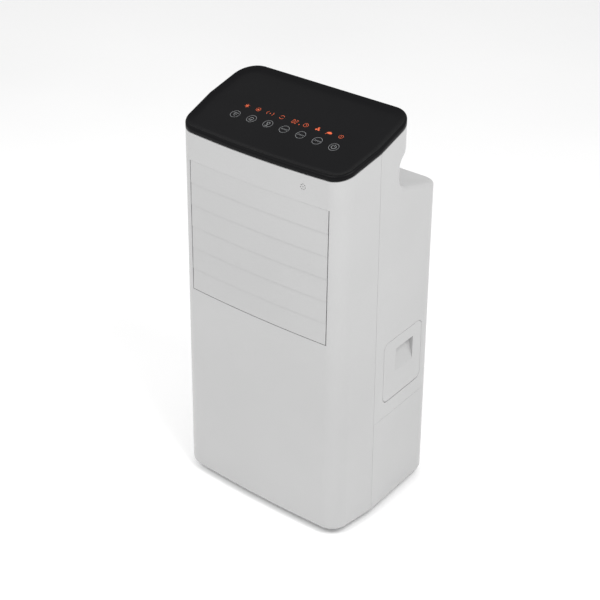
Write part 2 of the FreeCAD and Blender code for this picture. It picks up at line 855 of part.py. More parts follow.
# The filler door tilts out about two pins at its lower edge. Its scoop deepens towards the top, so
# fingers hook under the scoop's roof.
scoop_face = side_face((dim.scoop_low_z + dim.scoop_high_z) / 2)
scoop_front = dim.scoop_front_y - dim.seam_y
scoop_rear = dim.scoop_rear_y - dim.seam_y
SCOOP_WALL = 2
scoop_hollow = prism(
    "scoop_hollow", "XZ_Plane",
    [
        (scoop_face + 0.3, dim.scoop_low_z),
        (scoop_face + 6, dim.scoop_low_z),
        (scoop_face + 6, dim.scoop_high_z),
        (scoop_face - dim.scoop_depth, dim.scoop_high_z),
    ],
    scoop_front, scoop_rear,
)
scoop_block = prism(
    "scoop_block", "XZ_Plane",
    [
        (scoop_face - dim.wall, dim.scoop_low_z - SCOOP_WALL),
        (scoop_face - 1, dim.scoop_low_z - SCOOP_WALL),
        (scoop_face - 1, dim.scoop_high_z + SCOOP_WALL),
        (scoop_face - dim.scoop_depth - SCOOP_WALL, dim.scoop_high_z + SCOOP_WALL),
    ],
    scoop_front - SCOOP_WALL, scoop_rear + SCOOP_WALL,
)
door_plate = common("door_plate", casing_shell, door_prism("door_edge", dim.door_gap, dim.door_low_gap))
door_body = fuse(
    "door_body",
    door_plate,
    on_side(scoop_block),
    on_side(rod("door_front_pin", "Y", (hinge_x, hinge_z), HINGE_PIN, door_front - 4, door_front + 16)),
    on_side(rod("door_rear_pin", "Y", (hinge_x, hinge_z), HINGE_PIN, door_rear - 16, door_rear + 4)),
)
node("filler_door", cut("filler_door_solid", door_body, on_side(scoop_hollow)))

# Hopper behind the door. Water poured in leaves through its spout into the tank.
HOPPER_DEPTH = 32
HOPPER_WALL = 2
hopper_y = (door_front - 1, door_rear + 1)
hopper_z = (dim.door_low_z - 10, dim.door_high_z + 5)
spout_x = (-26, -10)
spout_y = (56, 84)
hopper = cut(
    "hopper",
    fuse(
        "hopper_body",
        box("hopper_block", (-HOPPER_DEPTH, -5.3), hopper_y, hopper_z),
        box("spout_block", (spout_x[0] - 2, spout_x[1] + 2), (spout_y[0] - 2, spout_y[1] + 2),
            (dim.tank_seam_z + 2, hopper_z[0] + 1)),
    ),
    box("hopper_hollow", (HOPPER_WALL - HOPPER_DEPTH, 0), (
        hopper_y[0] + HOPPER_WALL, hopper_y[1] - HOPPER_WALL,
    ),
        (hopper_z[0] + HOPPER_WALL, hopper_z[1] - HOPPER_WALL)),
    box("spout_hollow", spout_x, spout_y, (dim.tank_seam_z, hopper_z[0] + 5)),
)
node("filler_hopper", on_side(hopper))

# Intake grille with its dust filter, then the wet pad in its frame and the trough that wets it.
grille_x = (-dim.grille_half_width, dim.grille_half_width)
GRILLE_BORDER = 8
RIB = 3
GRILLE_COLUMNS = 3
grille_y = (dim.half_depth - 6, dim.half_depth - 1.2)
window_width = (dim.grille_half_width * 2 - 2 * GRILLE_BORDER - RIB * (GRILLE_COLUMNS - 1)) / GRILLE_COLUMNS
windows = []
for index in range(GRILLE_COLUMNS):
    low_x = GRILLE_BORDER - dim.grille_half_width + (window_width + RIB) * index
    windows.append(box("grille_window_%d" % index, (low_x, low_x + window_width), (90, 130),
                       (dim.grille_low_z + GRILLE_BORDER, dim.grille_high_z - GRILLE_BORDER)))
grille_plate = cut(
    "grille_plate",
    box("grille_block", grille_x, grille_y, (dim.grille_low_z, dim.grille_high_z)),
    *windows,
)
SLATS_AT_BACK = 24
bar_pitch = (dim.grille_high_z - dim.grille_low_z - 2 * GRILLE_BORDER) / (SLATS_AT_BACK + 1)
grille_bars = []
for index in range(1, SLATS_AT_BACK + 1):
    low = dim.grille_low_z + GRILLE_BORDER + bar_pitch * index - RIB / 2
    grille_bars.append(box("grille_bar_%d" % index, (
        GRILLE_BORDER / 2 - dim.grille_half_width, dim.grille_half_width - GRILLE_BORDER / 2,
    ),
                           (dim.half_depth - 5, dim.half_depth - 1.6), (low, low + RIB)))
node("intake_grille", fuse("intake_grille_solid", grille_plate, *grille_bars))
filter_y = (dim.half_depth - 8.5, dim.half_depth - 6.3)
node("dust_filter", box("dust_filter_solid", (
    3 - dim.grille_half_width, dim.grille_half_width - 3,
), filter_y,
                        (dim.grille_low_z + 3, dim.grille_high_z - 3)))

pad_x = (-dim.pad_half_width, dim.pad_half_width)
node(
    "cooling_pad",
    box("cooling_pad_solid", pad_x, (dim.pad_front_y, dim.pad_rear_y), (dim.pad_low_z, dim.pad_high_z)),
)
LIP = 6
frame_edge = dim.frame_wall + 0.3
pad_frame_parts = [
    cut(
        "pad_frame_ring",
        box("pad_frame_block", (
            pad_x[0] - frame_edge, pad_x[1] + frame_edge,
        ), (dim.pad_front_y - 2, dim.pad_rear_y + 2),
            (dim.pad_low_z - frame_edge, dim.pad_high_z + frame_edge)),
        box("pad_frame_seat", (
            pad_x[0] - 0.3, pad_x[1] + 0.3,
        ), (dim.pad_front_y - 0.3, dim.pad_rear_y + 0.3),
            (dim.pad_low_z - 0.3, dim.pad_high_z + 0.3)),
        box(
            "pad_frame_window",
            (pad_x[0] + LIP, pad_x[1] - LIP),
            (40, 120),
            (dim.pad_low_z + LIP, dim.pad_high_z - LIP),
        ),
    )
]
ear_holes = []
for index, (x, z) in enumerate(screw_places):
    side = (x - 6, -dim.pad_half_width - 1) if x.value < 0 else (dim.pad_half_width + 1, x + 6)
    pad_frame_parts.append(
        box("pad_ear_%d" % index, side, (dim.pad_rear_y - 8, dim.pad_rear_y + 5.8), (z - 7, z + 7))
    )
    ear_holes.append(rod("pad_ear_hole_%d" % index, "Y", (x, z), 1.55, 60, 120))
node("pad_frame", cut("pad_frame_solid", fuse("pad_frame_body", *pad_frame_parts), *ear_holes))

screws = []
for index, place in enumerate(screw_places):
    shank = rod("screw_shank_%d" % index, "Y", place, 1.5, dim.pad_rear_y - 6, dim.half_depth - 1.8)
    head = rod("screw_head_%d" % index, "Y", place, 3.9, dim.half_depth - 1.8, dim.half_depth - 0.3)
    drive = rod("screw_drive_%d" % index, "Y", place, 1.6, dim.half_depth - 1.2, dim.half_depth + 1)
    screws.append(cut("screw_%d" % index, fuse("screw_blank_%d" % index, shank, head), drive))
screw_group = document.addObject("Part::Compound", "screw_group")
screw_group.Links = screws
node("rear_screws", screw_group)

trough_z = (dim.pad_high_z + frame_edge + 0.5, dim.pad_high_z + frame_edge + 18)
trough_y = (dim.pad_front_y, dim.pad_rear_y)
trough_cuts = [
    box(
        "trough_hollow",
        (pad_x[0] + 2, pad_x[1] - 2),
        (trough_y[0] + 2, trough_y[1] - 2),
        (trough_z[0] + 2, trough_z[1] + 5),
    ),
]
DRIPS = 9
for index in range(DRIPS):
    x = dim.pad_half_width * (2 * index / (DRIPS - 1) - 1) * 0.85
    trough_cuts.append(
        rod(
            "drip_%d" % index,
            "Z",
            (x, (trough_y[0] + trough_y[1]) / 2),
            1.5,
            trough_z[0] - 1,
            trough_z[0] + 4,
        ),
    )
node(
    "water_trough", cut("water_trough_solid", box("trough_block", pad_x, trough_y, trough_z), *trough_cuts),
)

gland = cut(
    "gland_solid",
    fuse(
        "gland_body",
        rod("gland_barrel", "Y", (GLAND_X, GLAND_Z), GLAND_RADIUS, dim.half_depth - 8, dim.half_depth),
        rod(
            "gland_flange",
            "Y",
            (GLAND_X, GLAND_Z),
            GLAND_RADIUS + 2.5,
            dim.half_depth - 6,
            dim.half_depth - 3.3,
        ),
    ),
    rod("gland_bore", "Y", (GLAND_X, GLAND_Z), 3.3, 90, 130),
)
node("cable_gland", gland)


# ---------------------------------------------------------------- fan

GUIDE_CLEARANCE = 8
GUIDE_THICK = 2.5
guide_radius = dim.fan_radius + GUIDE_CLEARANCE
guide_outer = guide_radius + GUIDE_THICK
duct_rear_y = dim.frame_depth - dim.half_depth + 7
duct_low_z = dim.outlet_low + 7
duct_high_z = dim.outlet_high + 13
QUARTER_SWELL = 1 - math.cos(math.pi / 4)
guide = prism(
    "fan_guide", "YZ_Plane",
    [
        (dim.fan_y + guide_radius, dim.fan_z),
        (dim.fan_y + guide_outer, dim.fan_z),
        (dim.fan_y, dim.fan_z + guide_outer),
        (duct_rear_y, duct_high_z),
        (duct_rear_y, duct_high_z - 3),
        (dim.fan_y, dim.fan_z + guide_radius),
    ],
    dim.fan_left - 2, dim.fan_right + 2,
    arcs={1: (guide_outer * QUARTER_SWELL, guide_outer), 5: (-guide_radius * QUARTER_SWELL, guide_radius)},
)
tongue = prism(
    "fan_tongue", "YZ_Plane",
    [
        (duct_rear_y, duct_low_z),
        (duct_rear_y + 3, duct_low_z),
        (dim.fan_y - 36, dim.fan_z - 40),
        (dim.fan_y - 39, dim.fan_z - 40),
    ],
    dim.fan_left - 2, dim.fan_right + 2,
)


def fan_side(label, low_x):
    """One side plate of the fan housing."""
    corners = [
        (duct_rear_y, duct_low_z),
        (dim.fan_y + 18, duct_low_z + 20),
        (dim.fan_y + guide_outer, dim.fan_z - 20),
        (dim.fan_y + guide_outer, dim.fan_z + 20),
        (dim.fan_y + 12, dim.fan_z + guide_outer + 2),
        (duct_rear_y, duct_high_z),
    ]
    return prism(label, "YZ_Plane", corners, low_x, low_x + 2)


fan_axis = (dim.fan_y, dim.fan_z)
housing_left_x = dim.fan_left - 4
housing_right_x = dim.fan_right + 2
BUSH_RADIUS = 7
housing = cut(
    "fan_housing_solid",
    fuse(
        "fan_housing_body",
        guide,
        tongue,
        fan_side("fan_left_side", housing_left_x),
        fan_side("fan_right_side", housing_right_x),
    ),
    rod("bush_seat", "X", fan_axis, BUSH_RADIUS + 0.05, housing_left_x - 1, housing_left_x + 3),
    rod("shaft_way", "X", fan_axis, dim.shaft_radius + 1, housing_right_x - 1, housing_right_x + 3),
)
node("fan_housing", housing)
bush = cut(
    "fan_bearing_solid",
    fuse(
        "fan_bearing_body",
        rod("bush_barrel", "X", fan_axis, BUSH_RADIUS, housing_left_x - 2, housing_left_x + 2),
        rod("bush_flange", "X", fan_axis, BUSH_RADIUS + 2, housing_left_x - 2, housing_left_x - 0.1),
    ),
    rod(
        "bush_bore",
        "X",
        fan_axis,
        dim.shaft_radius + dim.running_gap,
        housing_left_x - 3,
        housing_left_x + 3,
    ),
)
node("fan_bearing", bush)
node(
    "fan_shaft",
    rod("fan_shaft_solid", "X", fan_axis, dim.shaft_radius, housing_left_x - 3, housing_right_x + 14),
)

BLADES = 24
BLADE_LENGTH = 10
BLADE_THICK = 1.3
blade_parts = []
for index in range(BLADES):
    turn = FreeCAD.Rotation(FreeCAD.Vector(1, 0, 0), 360 * index / BLADES)
    pitch = FreeCAD.Rotation(FreeCAD.Vector(1, 0, 0), 35)
    blade = document.addObject("Part::Box", "blade_%d" % index)
    bind(blade, "Length", dim.fan_right - dim.fan_left)
    blade.Width = BLADE_LENGTH
    blade.Height = BLADE_THICK
    spoke = turn.multVec(FreeCAD.Vector(0, dim.fan_radius.value - BLADE_LENGTH, 0))
    blade.Placement.Rotation = turn.multiply(pitch)
    bind(blade, "Placement.Base.x", dim.fan_left)
    bind(blade, "Placement.Base.y", dim.fan_y + spoke.y)
    bind(blade, "Placement.Base.z", dim.fan_z + spoke.z)
    blade_parts.append(blade)
for name, low_x in (
    ("left", dim.fan_left), ("middle", (dim.fan_left + dim.fan_right) / 2), ("right", dim.fan_right - 2),
):
    blade_parts.append(rod("rotor_disc_" + name, "X", fan_axis, dim.fan_radius, low_x, low_x + 2))
rotor = cut("fan_wheel_solid", fuse("rotor_body", *blade_parts),
            rod("rotor_bore", "X", fan_axis, dim.shaft_radius + 0.04, -WIDE, WIDE))
node("fan_wheel", rotor)

fan_motor_low = housing_right_x + 2.2
fan_motor = cut(
    "fan_motor_solid",
    fuse(
        "fan_motor_body",
        rod("fan_motor_can", "X", fan_axis, 31, fan_motor_low, fan_motor_low + 28),
        rod("fan_motor_cap", "X", fan_axis, 12, fan_motor_low + 27, fan_motor_low + 33),
        box(
            "fan_motor_foot",
            (fan_motor_low, fan_motor_low + 2),
            (dim.fan_y - 8, dim.fan_y + 8),
            (dim.fan_z - 40, dim.fan_z + 40),
        ),
    ),
    rod(
        "fan_motor_bore",
        "X",
        fan_axis,
        dim.shaft_radius + dim.running_gap,
        fan_motor_low - 1,
        fan_motor_low + 15,
    ),
)
node("fan_motor", fan_motor)


# ---------------------------------------------------------------- base pan, tank and pump

PAN_GAP = 0.35
pan_outside = casing_solid(
    "pan_outside", dim.wall + PAN_GAP, dim.half_depth, dim.rear_radius, below_floor_z, 80,
)
pan_inside = casing_solid(
    "pan_inside", dim.wall + PAN_GAP + 2.5, dim.half_depth, dim.rear_radius, below_floor_z, 80,
)
PAN_REAR_Y = 86
PAN_LOW_Z = 15
pan_block = common(
    "pan_block", pan_outside, box("pan_slab", full_width, (-WIDE, PAN_REAR_Y), (PAN_LOW_Z, dim.pan_top_z)),
)
pan_hollow = common(
    "pan_hollow", pan_inside, box("pan_under", full_width, (-WIDE, PAN_REAR_Y - 3), (0, dim.pan_top_z - 3)),
)
pan_parts = [cut("pan_tray", pan_block, pan_hollow)]
caster_places = [
    ("front_left", -dim.caster_x, dim.caster_front_y, -45),
    ("front_right", dim.caster_x, dim.caster_front_y, 45),
    ("rear_left", -dim.caster_x, dim.caster_rear_y, 225),
    ("rear_right", dim.caster_x, dim.caster_rear_y, 135),
]
FORK_TOP_Z = 33
pan_cuts = []
for name, x, y, angle in caster_places:
    pan_parts.append(rod("caster_boss_" + name, "Z", (x, y), 9, FORK_TOP_Z + 0.5, dim.pan_top_z - 2))
    pan_cuts.append(
        rod(
            "caster_socket_" + name,
            "Z",
            (x, y),
            dim.stem_radius + dim.running_gap,
            FORK_TOP_Z,
            dim.pan_top_z - 2,
        ),
    )
node("base_pan", cut("base_pan_solid", fuse("base_pan_body", *pan_parts), *pan_cuts))

tank_low = dim.pan_top_z + 0.4
tank_front_y = dim.seam_y + half_seam
tank_block = common(
    "tank_block",
    outer,
    box("tank_range", full_width, behind_seam, (dim.ground_gap, dim.tank_seam_z - half_seam)),
)
tank_water = common(
    "tank_water",
    inner,
    box("tank_water_box", full_width, (tank_front_y + 3, WIDE), (tank_low + dim.tank_floor, WIDE)),
)
tank_under = common(
    "tank_under", inner, box("tank_under_box", full_width, (-WIDE, WIDE), (-MARGIN, tank_low)),
)
PLUG_X = -70
PLUG_Z = 57
PLUG_RADIUS = 6
HANDLE_HALF = 48
tank_cuts = [
    rod("plug_way", "Y", (PLUG_X, PLUG_Z), PLUG_RADIUS + 0.05, 100, 120),
    box("hand_slot", (-HANDLE_HALF, HANDLE_HALF), (95, 130), (0, 34)),
]
node("water_tank", cut("water_tank_solid", tank_block, tank_water, tank_under, *tank_cuts))
plug_axis = (PLUG_X, PLUG_Z)
node(
    "drain_plug",
    fuse(
        "drain_plug_solid",
        rod("plug_barrel", "Y", plug_axis, PLUG_RADIUS - 0.05, dim.half_depth - 5, dim.half_depth - 0.5),
        rod("plug_tip", "Y", plug_axis, PLUG_RADIUS - 1.2, dim.half_depth - 8, dim.half_depth - 5),
    ),
)

PUMP_X = -118
PUMP_Y = 38
PUMP_RADIUS = 17
pump_low = tank_low + dim.tank_floor + 0.1
pump_at = (PUMP_X, PUMP_Y)
riser_at = (PUMP_X, PUMP_Y)
PIPE_RADIUS = 4
PIPE_BORE = 2.6
chamber_low = pump_low + 4
pump = cut(
    "pump_solid",
    fuse(
        "pump_body",
        rod("pump_can", "Z", pump_at, PUMP_RADIUS, pump_low, pump_low + 34),
        rod("pump_outlet", "Z", riser_at, PIPE_RADIUS + 2, pump_low + 33, pump_low + 42),
    ),
    rod("pump_chamber", "Z", pump_at, 12.5, chamber_low, chamber_low + 9),
    rod("pump_intake", "Z", pump_at, 6, pump_low - 1, chamber_low + 1),
    rod("pump_delivery", "Z", riser_at, PIPE_RADIUS + 0.05, pump_low + 20, pump_low + 45),
)
node("water_pump", pump)
impeller_parts = [rod("impeller_disc", "Z", pump_at, 11, chamber_low + 5, chamber_low + 6.5),
                  rod("impeller_hub", "Z", pump_at, 3, chamber_low + 1, chamber_low + 6.5)]
for index in range(4):
    vane_box = document.addObject("Part::Box", "impeller_vane_%d" % index)
    vane_box.Length = 10
    vane_box.Width = 1.2
    vane_box.Height = 4.5
    vane_box.Placement.Rotation = FreeCAD.Rotation(FreeCAD.Vector(0, 0, 1), 90 * index)
    bind(vane_box, "Placement.Base.x", PUMP_X)
    bind(vane_box, "Placement.Base.y", PUMP_Y)
    bind(vane_box, "Placement.Base.z", chamber_low + 1)
    impeller_parts.append(vane_box)
node("pump_impeller", fuse("pump_impeller_solid", *impeller_parts))


def pipe(label, runs):
    """A rigid tube of straight runs: (direction, centre, low, high)."""
    solids = []
    bores = []
    for index, (direction, centre, low, high) in enumerate(runs):
        solids.append(rod("%s_run_%d" % (label, index), direction, centre, PIPE_RADIUS, low, high))
        bores.append(
            rod(
                "%s_bore_%d" % (label, index),
                direction,
                centre,
                PIPE_BORE,
                as_size(low) - 0.5,
                as_size(high) + 0.5,
            ),
        )
    return cut(label + "_solid", fuse(label + "_body", *solids), *bores)


riser_top = dim.tank_seam_z - 3
riser = cut(
    "riser_solid",
    rod("riser_rod", "Z", riser_at, PIPE_RADIUS, pump_low + 20.5, riser_top),
    rod("riser_bore", "Z", riser_at, PIPE_BORE, pump_low, riser_top + 1),
)
node("riser_pipe", riser)
feed_z = trough_z[1] + 6
feed_y = (trough_y[0] + trough_y[1]) / 2
feed_x = -dim.pad_half_width + 14
feed_runs = [
    ("Z", riser_at, dim.tank_seam_z + 1.5, feed_z),
    ("Y", (PUMP_X, feed_z), PUMP_Y - PIPE_RADIUS, feed_y + PIPE_RADIUS),
    ("X", (feed_y, feed_z), PUMP_X - PIPE_RADIUS, feed_x + PIPE_RADIUS),
    ("Z", (feed_x, feed_y), trough_z[0] + 8, feed_z),
]
node("feed_pipe", pipe("feed_pipe", feed_runs))


# ---------------------------------------------------------------- lid, touch panel and electronics

LID_SKIRT = 6
lid_outside = casing_solid("lid_outside", 0, dim.head_rear_y, dim.head_radius, 480, body_top_z + 3 * MARGIN)
lid_inside = casing_solid(
    "lid_inside", dim.wall + 0.35, dim.head_rear_y, dim.head_radius, 480, body_top_z + 3 * MARGIN,
)
lid_core = casing_solid(
    "lid_core", dim.wall + 2.5, dim.head_rear_y, dim.head_radius, 480, body_top_z + 3 * MARGIN,
)
tray = casing_solid("tray", dim.rim_width, dim.head_rear_y, dim.head_radius, 480, body_top_z + 3 * MARGIN)
TRAY_FLOOR = 2.2
tray_lift = dim.lid_height - dim.tray_depth
lid_slab = cut("lid_slab", lid_outside, above_lid_plane("above_rim", dim.lid_height))
lid_slab = common("lid_top", lid_slab, above_lid_plane("lid_underside", dim.lid_shadow_gap))
tray_hollow = common("tray_hollow", tray, above_lid_plane("tray_floor", tray_lift))
lid_skirt = cut(
    "lid_skirt",
    common("lid_skirt_block", lid_inside, above_lid_plane("skirt_low", -LID_SKIRT)),
    above_lid_plane("skirt_high", tray_lift - 0.5),
)
lid_void = cut("lid_void", lid_core, above_lid_plane("void_high", tray_lift - TRAY_FLOOR))
node(
    "touch_lid", cut("touch_lid_solid", fuse("touch_lid_body", lid_slab, lid_skirt), tray_hollow, lid_void),
)

lid_tilt = FreeCAD.Rotation(FreeCAD.Vector(1, 0, 0), math.degrees(math.atan(dim.lid_slope.value)))


def under_lid(feature):
    """Places a feature built along the lid's seat: x, distance up the slope, distance above the seat."""
    return placed(feature, lid_tilt, y=dim.front_lean - dim.half_depth, z=dim.lid_front_z)


KEYS = 7
KEY_PITCH = 27.5
KEY_UP = 57.4
DISPLAY_UP = 78.3
PANEL_UNDERSIDE = 2.1
BOARD_TOP = -1.6
board_holes = []
for index, x in enumerate((-92, 92)):
    board_holes.append(rod("board_hole_%d" % index, "Z", (x, 44), 1.7, BOARD_TOP - 3, BOARD_TOP + 1))
board = cut(
    "touch_board_solid",
    box("touch_board_plate", (-97, 97), (38, 96), (BOARD_TOP - 1.6, BOARD_TOP)),
    *board_holes,
)
node("touch_board", under_lid(board))
key_springs = []
for index in range(KEYS):
    x = KEY_PITCH * (index - (KEYS - 1) / 2)
    disc = rod("key_disc_%d" % index, "Z", (x, KEY_UP), 6.5, PANEL_UNDERSIDE - 1.2, PANEL_UNDERSIDE - 0.1)
    post = rod("key_post_%d" % index, "Z", (x, KEY_UP), 2.5, BOARD_TOP + 0.1, PANEL_UNDERSIDE - 1)
    key_springs.append(under_lid(fuse("key_%d" % index, disc, post)))
key_group = document.addObject("Part::Compound", "key_group")
key_group.Links = key_springs
node("touch_key_pads", key_group)
node(
    "led_display",
    under_lid(
        box(
            "led_display_solid",
            (-88, 90),
            (DISPLAY_UP - 6, DISPLAY_UP + 6),
            (BOARD_TOP + 0.1, PANEL_UNDERSIDE - 0.1),
        ),
    ),
)
node(
    "ir_receiver",
    on_front(
        box("ir_receiver_solid", (SENSOR_X - 6, SENSOR_X + 6), (5.4, 9), (SENSOR_UP - 6, SENSOR_UP + 6))
    ),
)

POWER_X = 64
POWER_Y = (-100, -66)
POWER_Z = (170, 270)
power_box = cut(
    "power_box_solid",
    box("power_box_block", (-POWER_X, POWER_X), POWER_Y, POWER_Z),
    box(
        "power_box_hollow",
        (2 - POWER_X, POWER_X - 2),
        (POWER_Y[0] + 2, POWER_Y[1] + 1),
        (POWER_Z[0] + 2, POWER_Z[1] - 2),
    ),
)
node("power_box", power_box)
power_parts = [box(
    "power_board_plate",
    (4 - POWER_X, POWER_X - 4),
    (POWER_Y[0] + 8, POWER_Y[0] + 9.6),
    (POWER_Z[0] + 4, POWER_Z[1] - 4),
),
               box(
                   "power_transformer",
                   (-50, -18),
                   (POWER_Y[0] + 9, POWER_Y[1] - 3),
                   (POWER_Z[0] + 20, POWER_Z[0] + 52),
               ),
               rod("power_capacitor", "Y", (20, POWER_Z[0] + 40), 8, POWER_Y[0] + 9, POWER_Y[0] + 30),
               box(
                   "power_relay",
                   (34, 52),
                   (POWER_Y[0] + 9, POWER_Y[0] + 24),
                   (POWER_Z[0] + 62, POWER_Z[0] + 78),
               )]
node("power_board", fuse("power_board_solid", *power_parts))


# ---------------------------------------------------------------- casters

WHEEL_GAP = 0.7


def make_caster(name, x, y, angle):
    """A swivel fork with its stem, a wheel behind the stem and the axle through both."""

    def place(feature):
        return placed(feature, FreeCAD.Rotation(FreeCAD.Vector(0, 0, 1), angle), x, y)

    trail = dim.caster_trail
    half = dim.wheel_width / 2
    axle_at = (trail, dim.wheel_radius)
    cheek_low = half + WHEEL_GAP
    cheek_high = cheek_low + 2
    label = "caster_" + name
    parts = [
        rod(label + "_plate", "Z", (0, 0), 10.5, FORK_TOP_Z - 3, FORK_TOP_Z),
        rod(label + "_stem", "Z", (0, 0), dim.stem_radius, FORK_TOP_Z - 1, dim.pan_top_z - 3.5),
    ]
    for side, low in (("left", -cheek_high), ("right", cheek_low)):
        parts.append(
            box(
                label + "_cheek_" + side,
                (low, low + 2),
                (trail - 6, trail + 6),
                (dim.wheel_radius - 4, FORK_TOP_Z - 1),
            ),
        )
    fork = cut(label + "_fork_solid", fuse(label + "_fork_body", *parts),
               rod(label + "_axle_hole", "X", axle_at, dim.axle_radius + dim.running_gap, -20, 20))
    node(label + "_fork", place(fork))
    rim = dim.wheel_radius
    bore = dim.axle_radius + dim.running_gap
    profile = [
        (bore, -half),
        (rim - 1.5, -half),
        (rim, 1.5 - half),
        (rim, half - 1.5),
        (rim - 1.5, half),
        (bore, half),
    ]
    wheel = turned(label + "_wheel_solid", profile, (0, trail, dim.wheel_radius), "X")
    wheel_copy = fuse(
        label + "_wheel_body",
        wheel,
        rod(label + "_wheel_hub", "X", axle_at, rim - 4, -half - 0.2, half + 0.2),
    )
    wheel_done = cut(
        label + "_wheel_cut", wheel_copy, rod(label + "_wheel_bore", "X", axle_at, bore, -20, 20),
    )
    node(label + "_wheel", place(wheel_done))
    node(
        label + "_axle",
        place(rod(label + "_axle_solid", "X", axle_at, dim.axle_radius, -cheek_high, cheek_high)),
    )


for name, x, y, angle in caster_places:
    make_caster(name, x, y, angle)


# ---------------------------------------------------------------- check and write

document.recompute()
for feature in document.Objects:
    if "Invalid" in feature.State or "Error" in feature.State:
        raise RuntimeError("%s failed: %s" % (feature.Name, feature.State))
for label, feature in nodes.items():
    if feature.Shape.isNull() or not feature.Shape.isValid() or not feature.Shape.Solids:
        raise RuntimeError("%s has no valid solid" % label)

os.makedirs("parts", exist_ok=True)
for label, feature in nodes.items():
    feature.Shape.exportStep("parts/%s.step" % label)
print("%d sub-parts written" % len(nodes))
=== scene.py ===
import json
import math

import bmesh
import bpy
from mathutils import Matrix, Vector


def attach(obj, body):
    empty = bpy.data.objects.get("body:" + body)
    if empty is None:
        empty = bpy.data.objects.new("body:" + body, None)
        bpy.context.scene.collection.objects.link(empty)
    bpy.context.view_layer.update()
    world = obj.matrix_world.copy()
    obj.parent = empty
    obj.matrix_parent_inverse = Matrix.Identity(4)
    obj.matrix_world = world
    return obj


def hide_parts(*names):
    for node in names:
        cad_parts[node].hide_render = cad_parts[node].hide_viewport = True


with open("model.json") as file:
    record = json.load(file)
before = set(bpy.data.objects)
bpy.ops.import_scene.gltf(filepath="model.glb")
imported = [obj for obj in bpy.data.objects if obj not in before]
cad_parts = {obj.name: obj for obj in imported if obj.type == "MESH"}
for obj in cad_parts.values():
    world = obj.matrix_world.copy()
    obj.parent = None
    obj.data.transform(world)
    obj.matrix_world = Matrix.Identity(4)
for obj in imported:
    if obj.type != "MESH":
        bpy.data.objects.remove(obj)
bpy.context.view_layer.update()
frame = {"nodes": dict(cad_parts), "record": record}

MM = 0.001


# ---------------------------------------------------------------- camera

CAMERA_PLACE = (1.0917, -1.3460, 1.30265)
CAMERA_AZIMUTH = math.radians(39.36)
CAMERA_ELEVATION = math.radians(30.273)
CAMERA_ROLL = math.radians(0.269)
CAMERA_LENS = 85.4
SENSOR_WIDTH = 36
CLIP_END = 50


def add_camera():
    """A camera that stands off the front right corner and looks down on the object."""
    across = Vector((math.cos(CAMERA_AZIMUTH), math.sin(CAMERA_AZIMUTH), 0))
    back = Vector((
        math.sin(CAMERA_AZIMUTH) * math.cos(CAMERA_ELEVATION),
        -math.cos(CAMERA_AZIMUTH) * math.cos(CAMERA_ELEVATION),
        math.sin(CAMERA_ELEVATION),
    ))
    up = back.cross(across)
    right = across * math.cos(CAMERA_ROLL) + up * math.sin(CAMERA_ROLL)
    above = up * math.cos(CAMERA_ROLL) - across * math.sin(CAMERA_ROLL)
    data = bpy.data.cameras.new("camera")
    data.lens = CAMERA_LENS
    data.sensor_width = SENSOR_WIDTH
    data.clip_end = CLIP_END
    camera = bpy.data.objects.new("camera", data)
    turn = Matrix((right, above, back)).transposed().to_4x4()
    camera.matrix_world = Matrix.Translation(CAMERA_PLACE) @ turn
    bpy.context.scene.collection.objects.link(camera)
    bpy.context.scene.camera = camera


add_camera()


# ---------------------------------------------------------------- materials


class Nodes:
    """Short calls for building a node material."""

    def __init__(self, name):
        self.material = bpy.data.materials.new(name)
        self.material.use_nodes = True
        self.tree = self.material.node_tree
        self.shader = self.tree.nodes["Principled BSDF"]
        place = self.add("ShaderNodeTexCoord")
        self.place = place.outputs["Object"]

    def add(self, kind, **settings):
        node = self.tree.nodes.new(kind)
        for key, value in settings.items():
            setattr(node, key, value)
        return node

    def join(self, source, target):
        self.tree.links.new(source, target)

    def set(self, **values):
        for key, value in values.items():
            self.shader.inputs[key.replace("_", " ")].default_value = value

    def stretched(self, scale):
        node = self.add("ShaderNodeMapping")
        node.inputs["Scale"].default_value = scale
        self.join(self.place, node.inputs["Vector"])
        return node.outputs["Vector"]

    def noise(self, scale, detail=3.0, place=None):
        node = self.add("ShaderNodeTexNoise")
        node.inputs["Scale"].default_value = scale
        node.inputs["Detail"].default_value = detail
        self.join(place or self.place, node.inputs["Vector"])
        return node.outputs["Fac"]

    def wave(self, scale, direction, place=None, distortion=0.0):
        node = self.add("ShaderNodeTexWave", bands_direction=direction)
        node.inputs["Scale"].default_value = scale
        node.inputs["Distortion"].default_value = distortion
        self.join(place or self.place, node.inputs["Vector"])
        return node.outputs["Fac"]

    def ramp(self, value, low, high, start=0.3, end=0.7):
        node = self.add("ShaderNodeValToRGB")
        first, last = node.color_ramp.elements
        first.position, last.position = start, end
        first.color, last.color = (*low, 1), (*high, 1)
        self.join(value, node.inputs["Fac"])
        return node.outputs["Color"]

    def between(self, value, low, high, start=0.3, end=0.7):
        node = self.add("ShaderNodeMapRange")
        for key, number in zip(("From Min", "From Max", "To Min", "To Max"), (start, end, low, high)):
            node.inputs[key].default_value = number
        self.join(value, node.inputs["Value"])
        return node.outputs["Result"]

    def math(self, operation, first, second):
        node = self.add("ShaderNodeMath", operation=operation)
        for socket, value in zip(node.inputs, (first, second)):
            if isinstance(value, (int, float)):
                socket.default_value = value
            else:
                self.join(value, socket)
        return node.outputs["Value"]

    def colour(self, socket):
        self.join(socket, self.shader.inputs["Base Color"])

    def rough(self, socket):
        self.join(socket, self.shader.inputs["Roughness"])

    def bump(self, height, depth, strength=1.0):
        node = self.add("ShaderNodeBump")
        node.inputs["Distance"].default_value = depth
        node.inputs["Strength"].default_value = strength
        self.join(height, node.inputs["Height"])
        self.join(node.outputs["Normal"], self.shader.inputs["Normal"])


def tint(colour, factor):
    return tuple(min(1.0, channel * factor) for channel in colour)


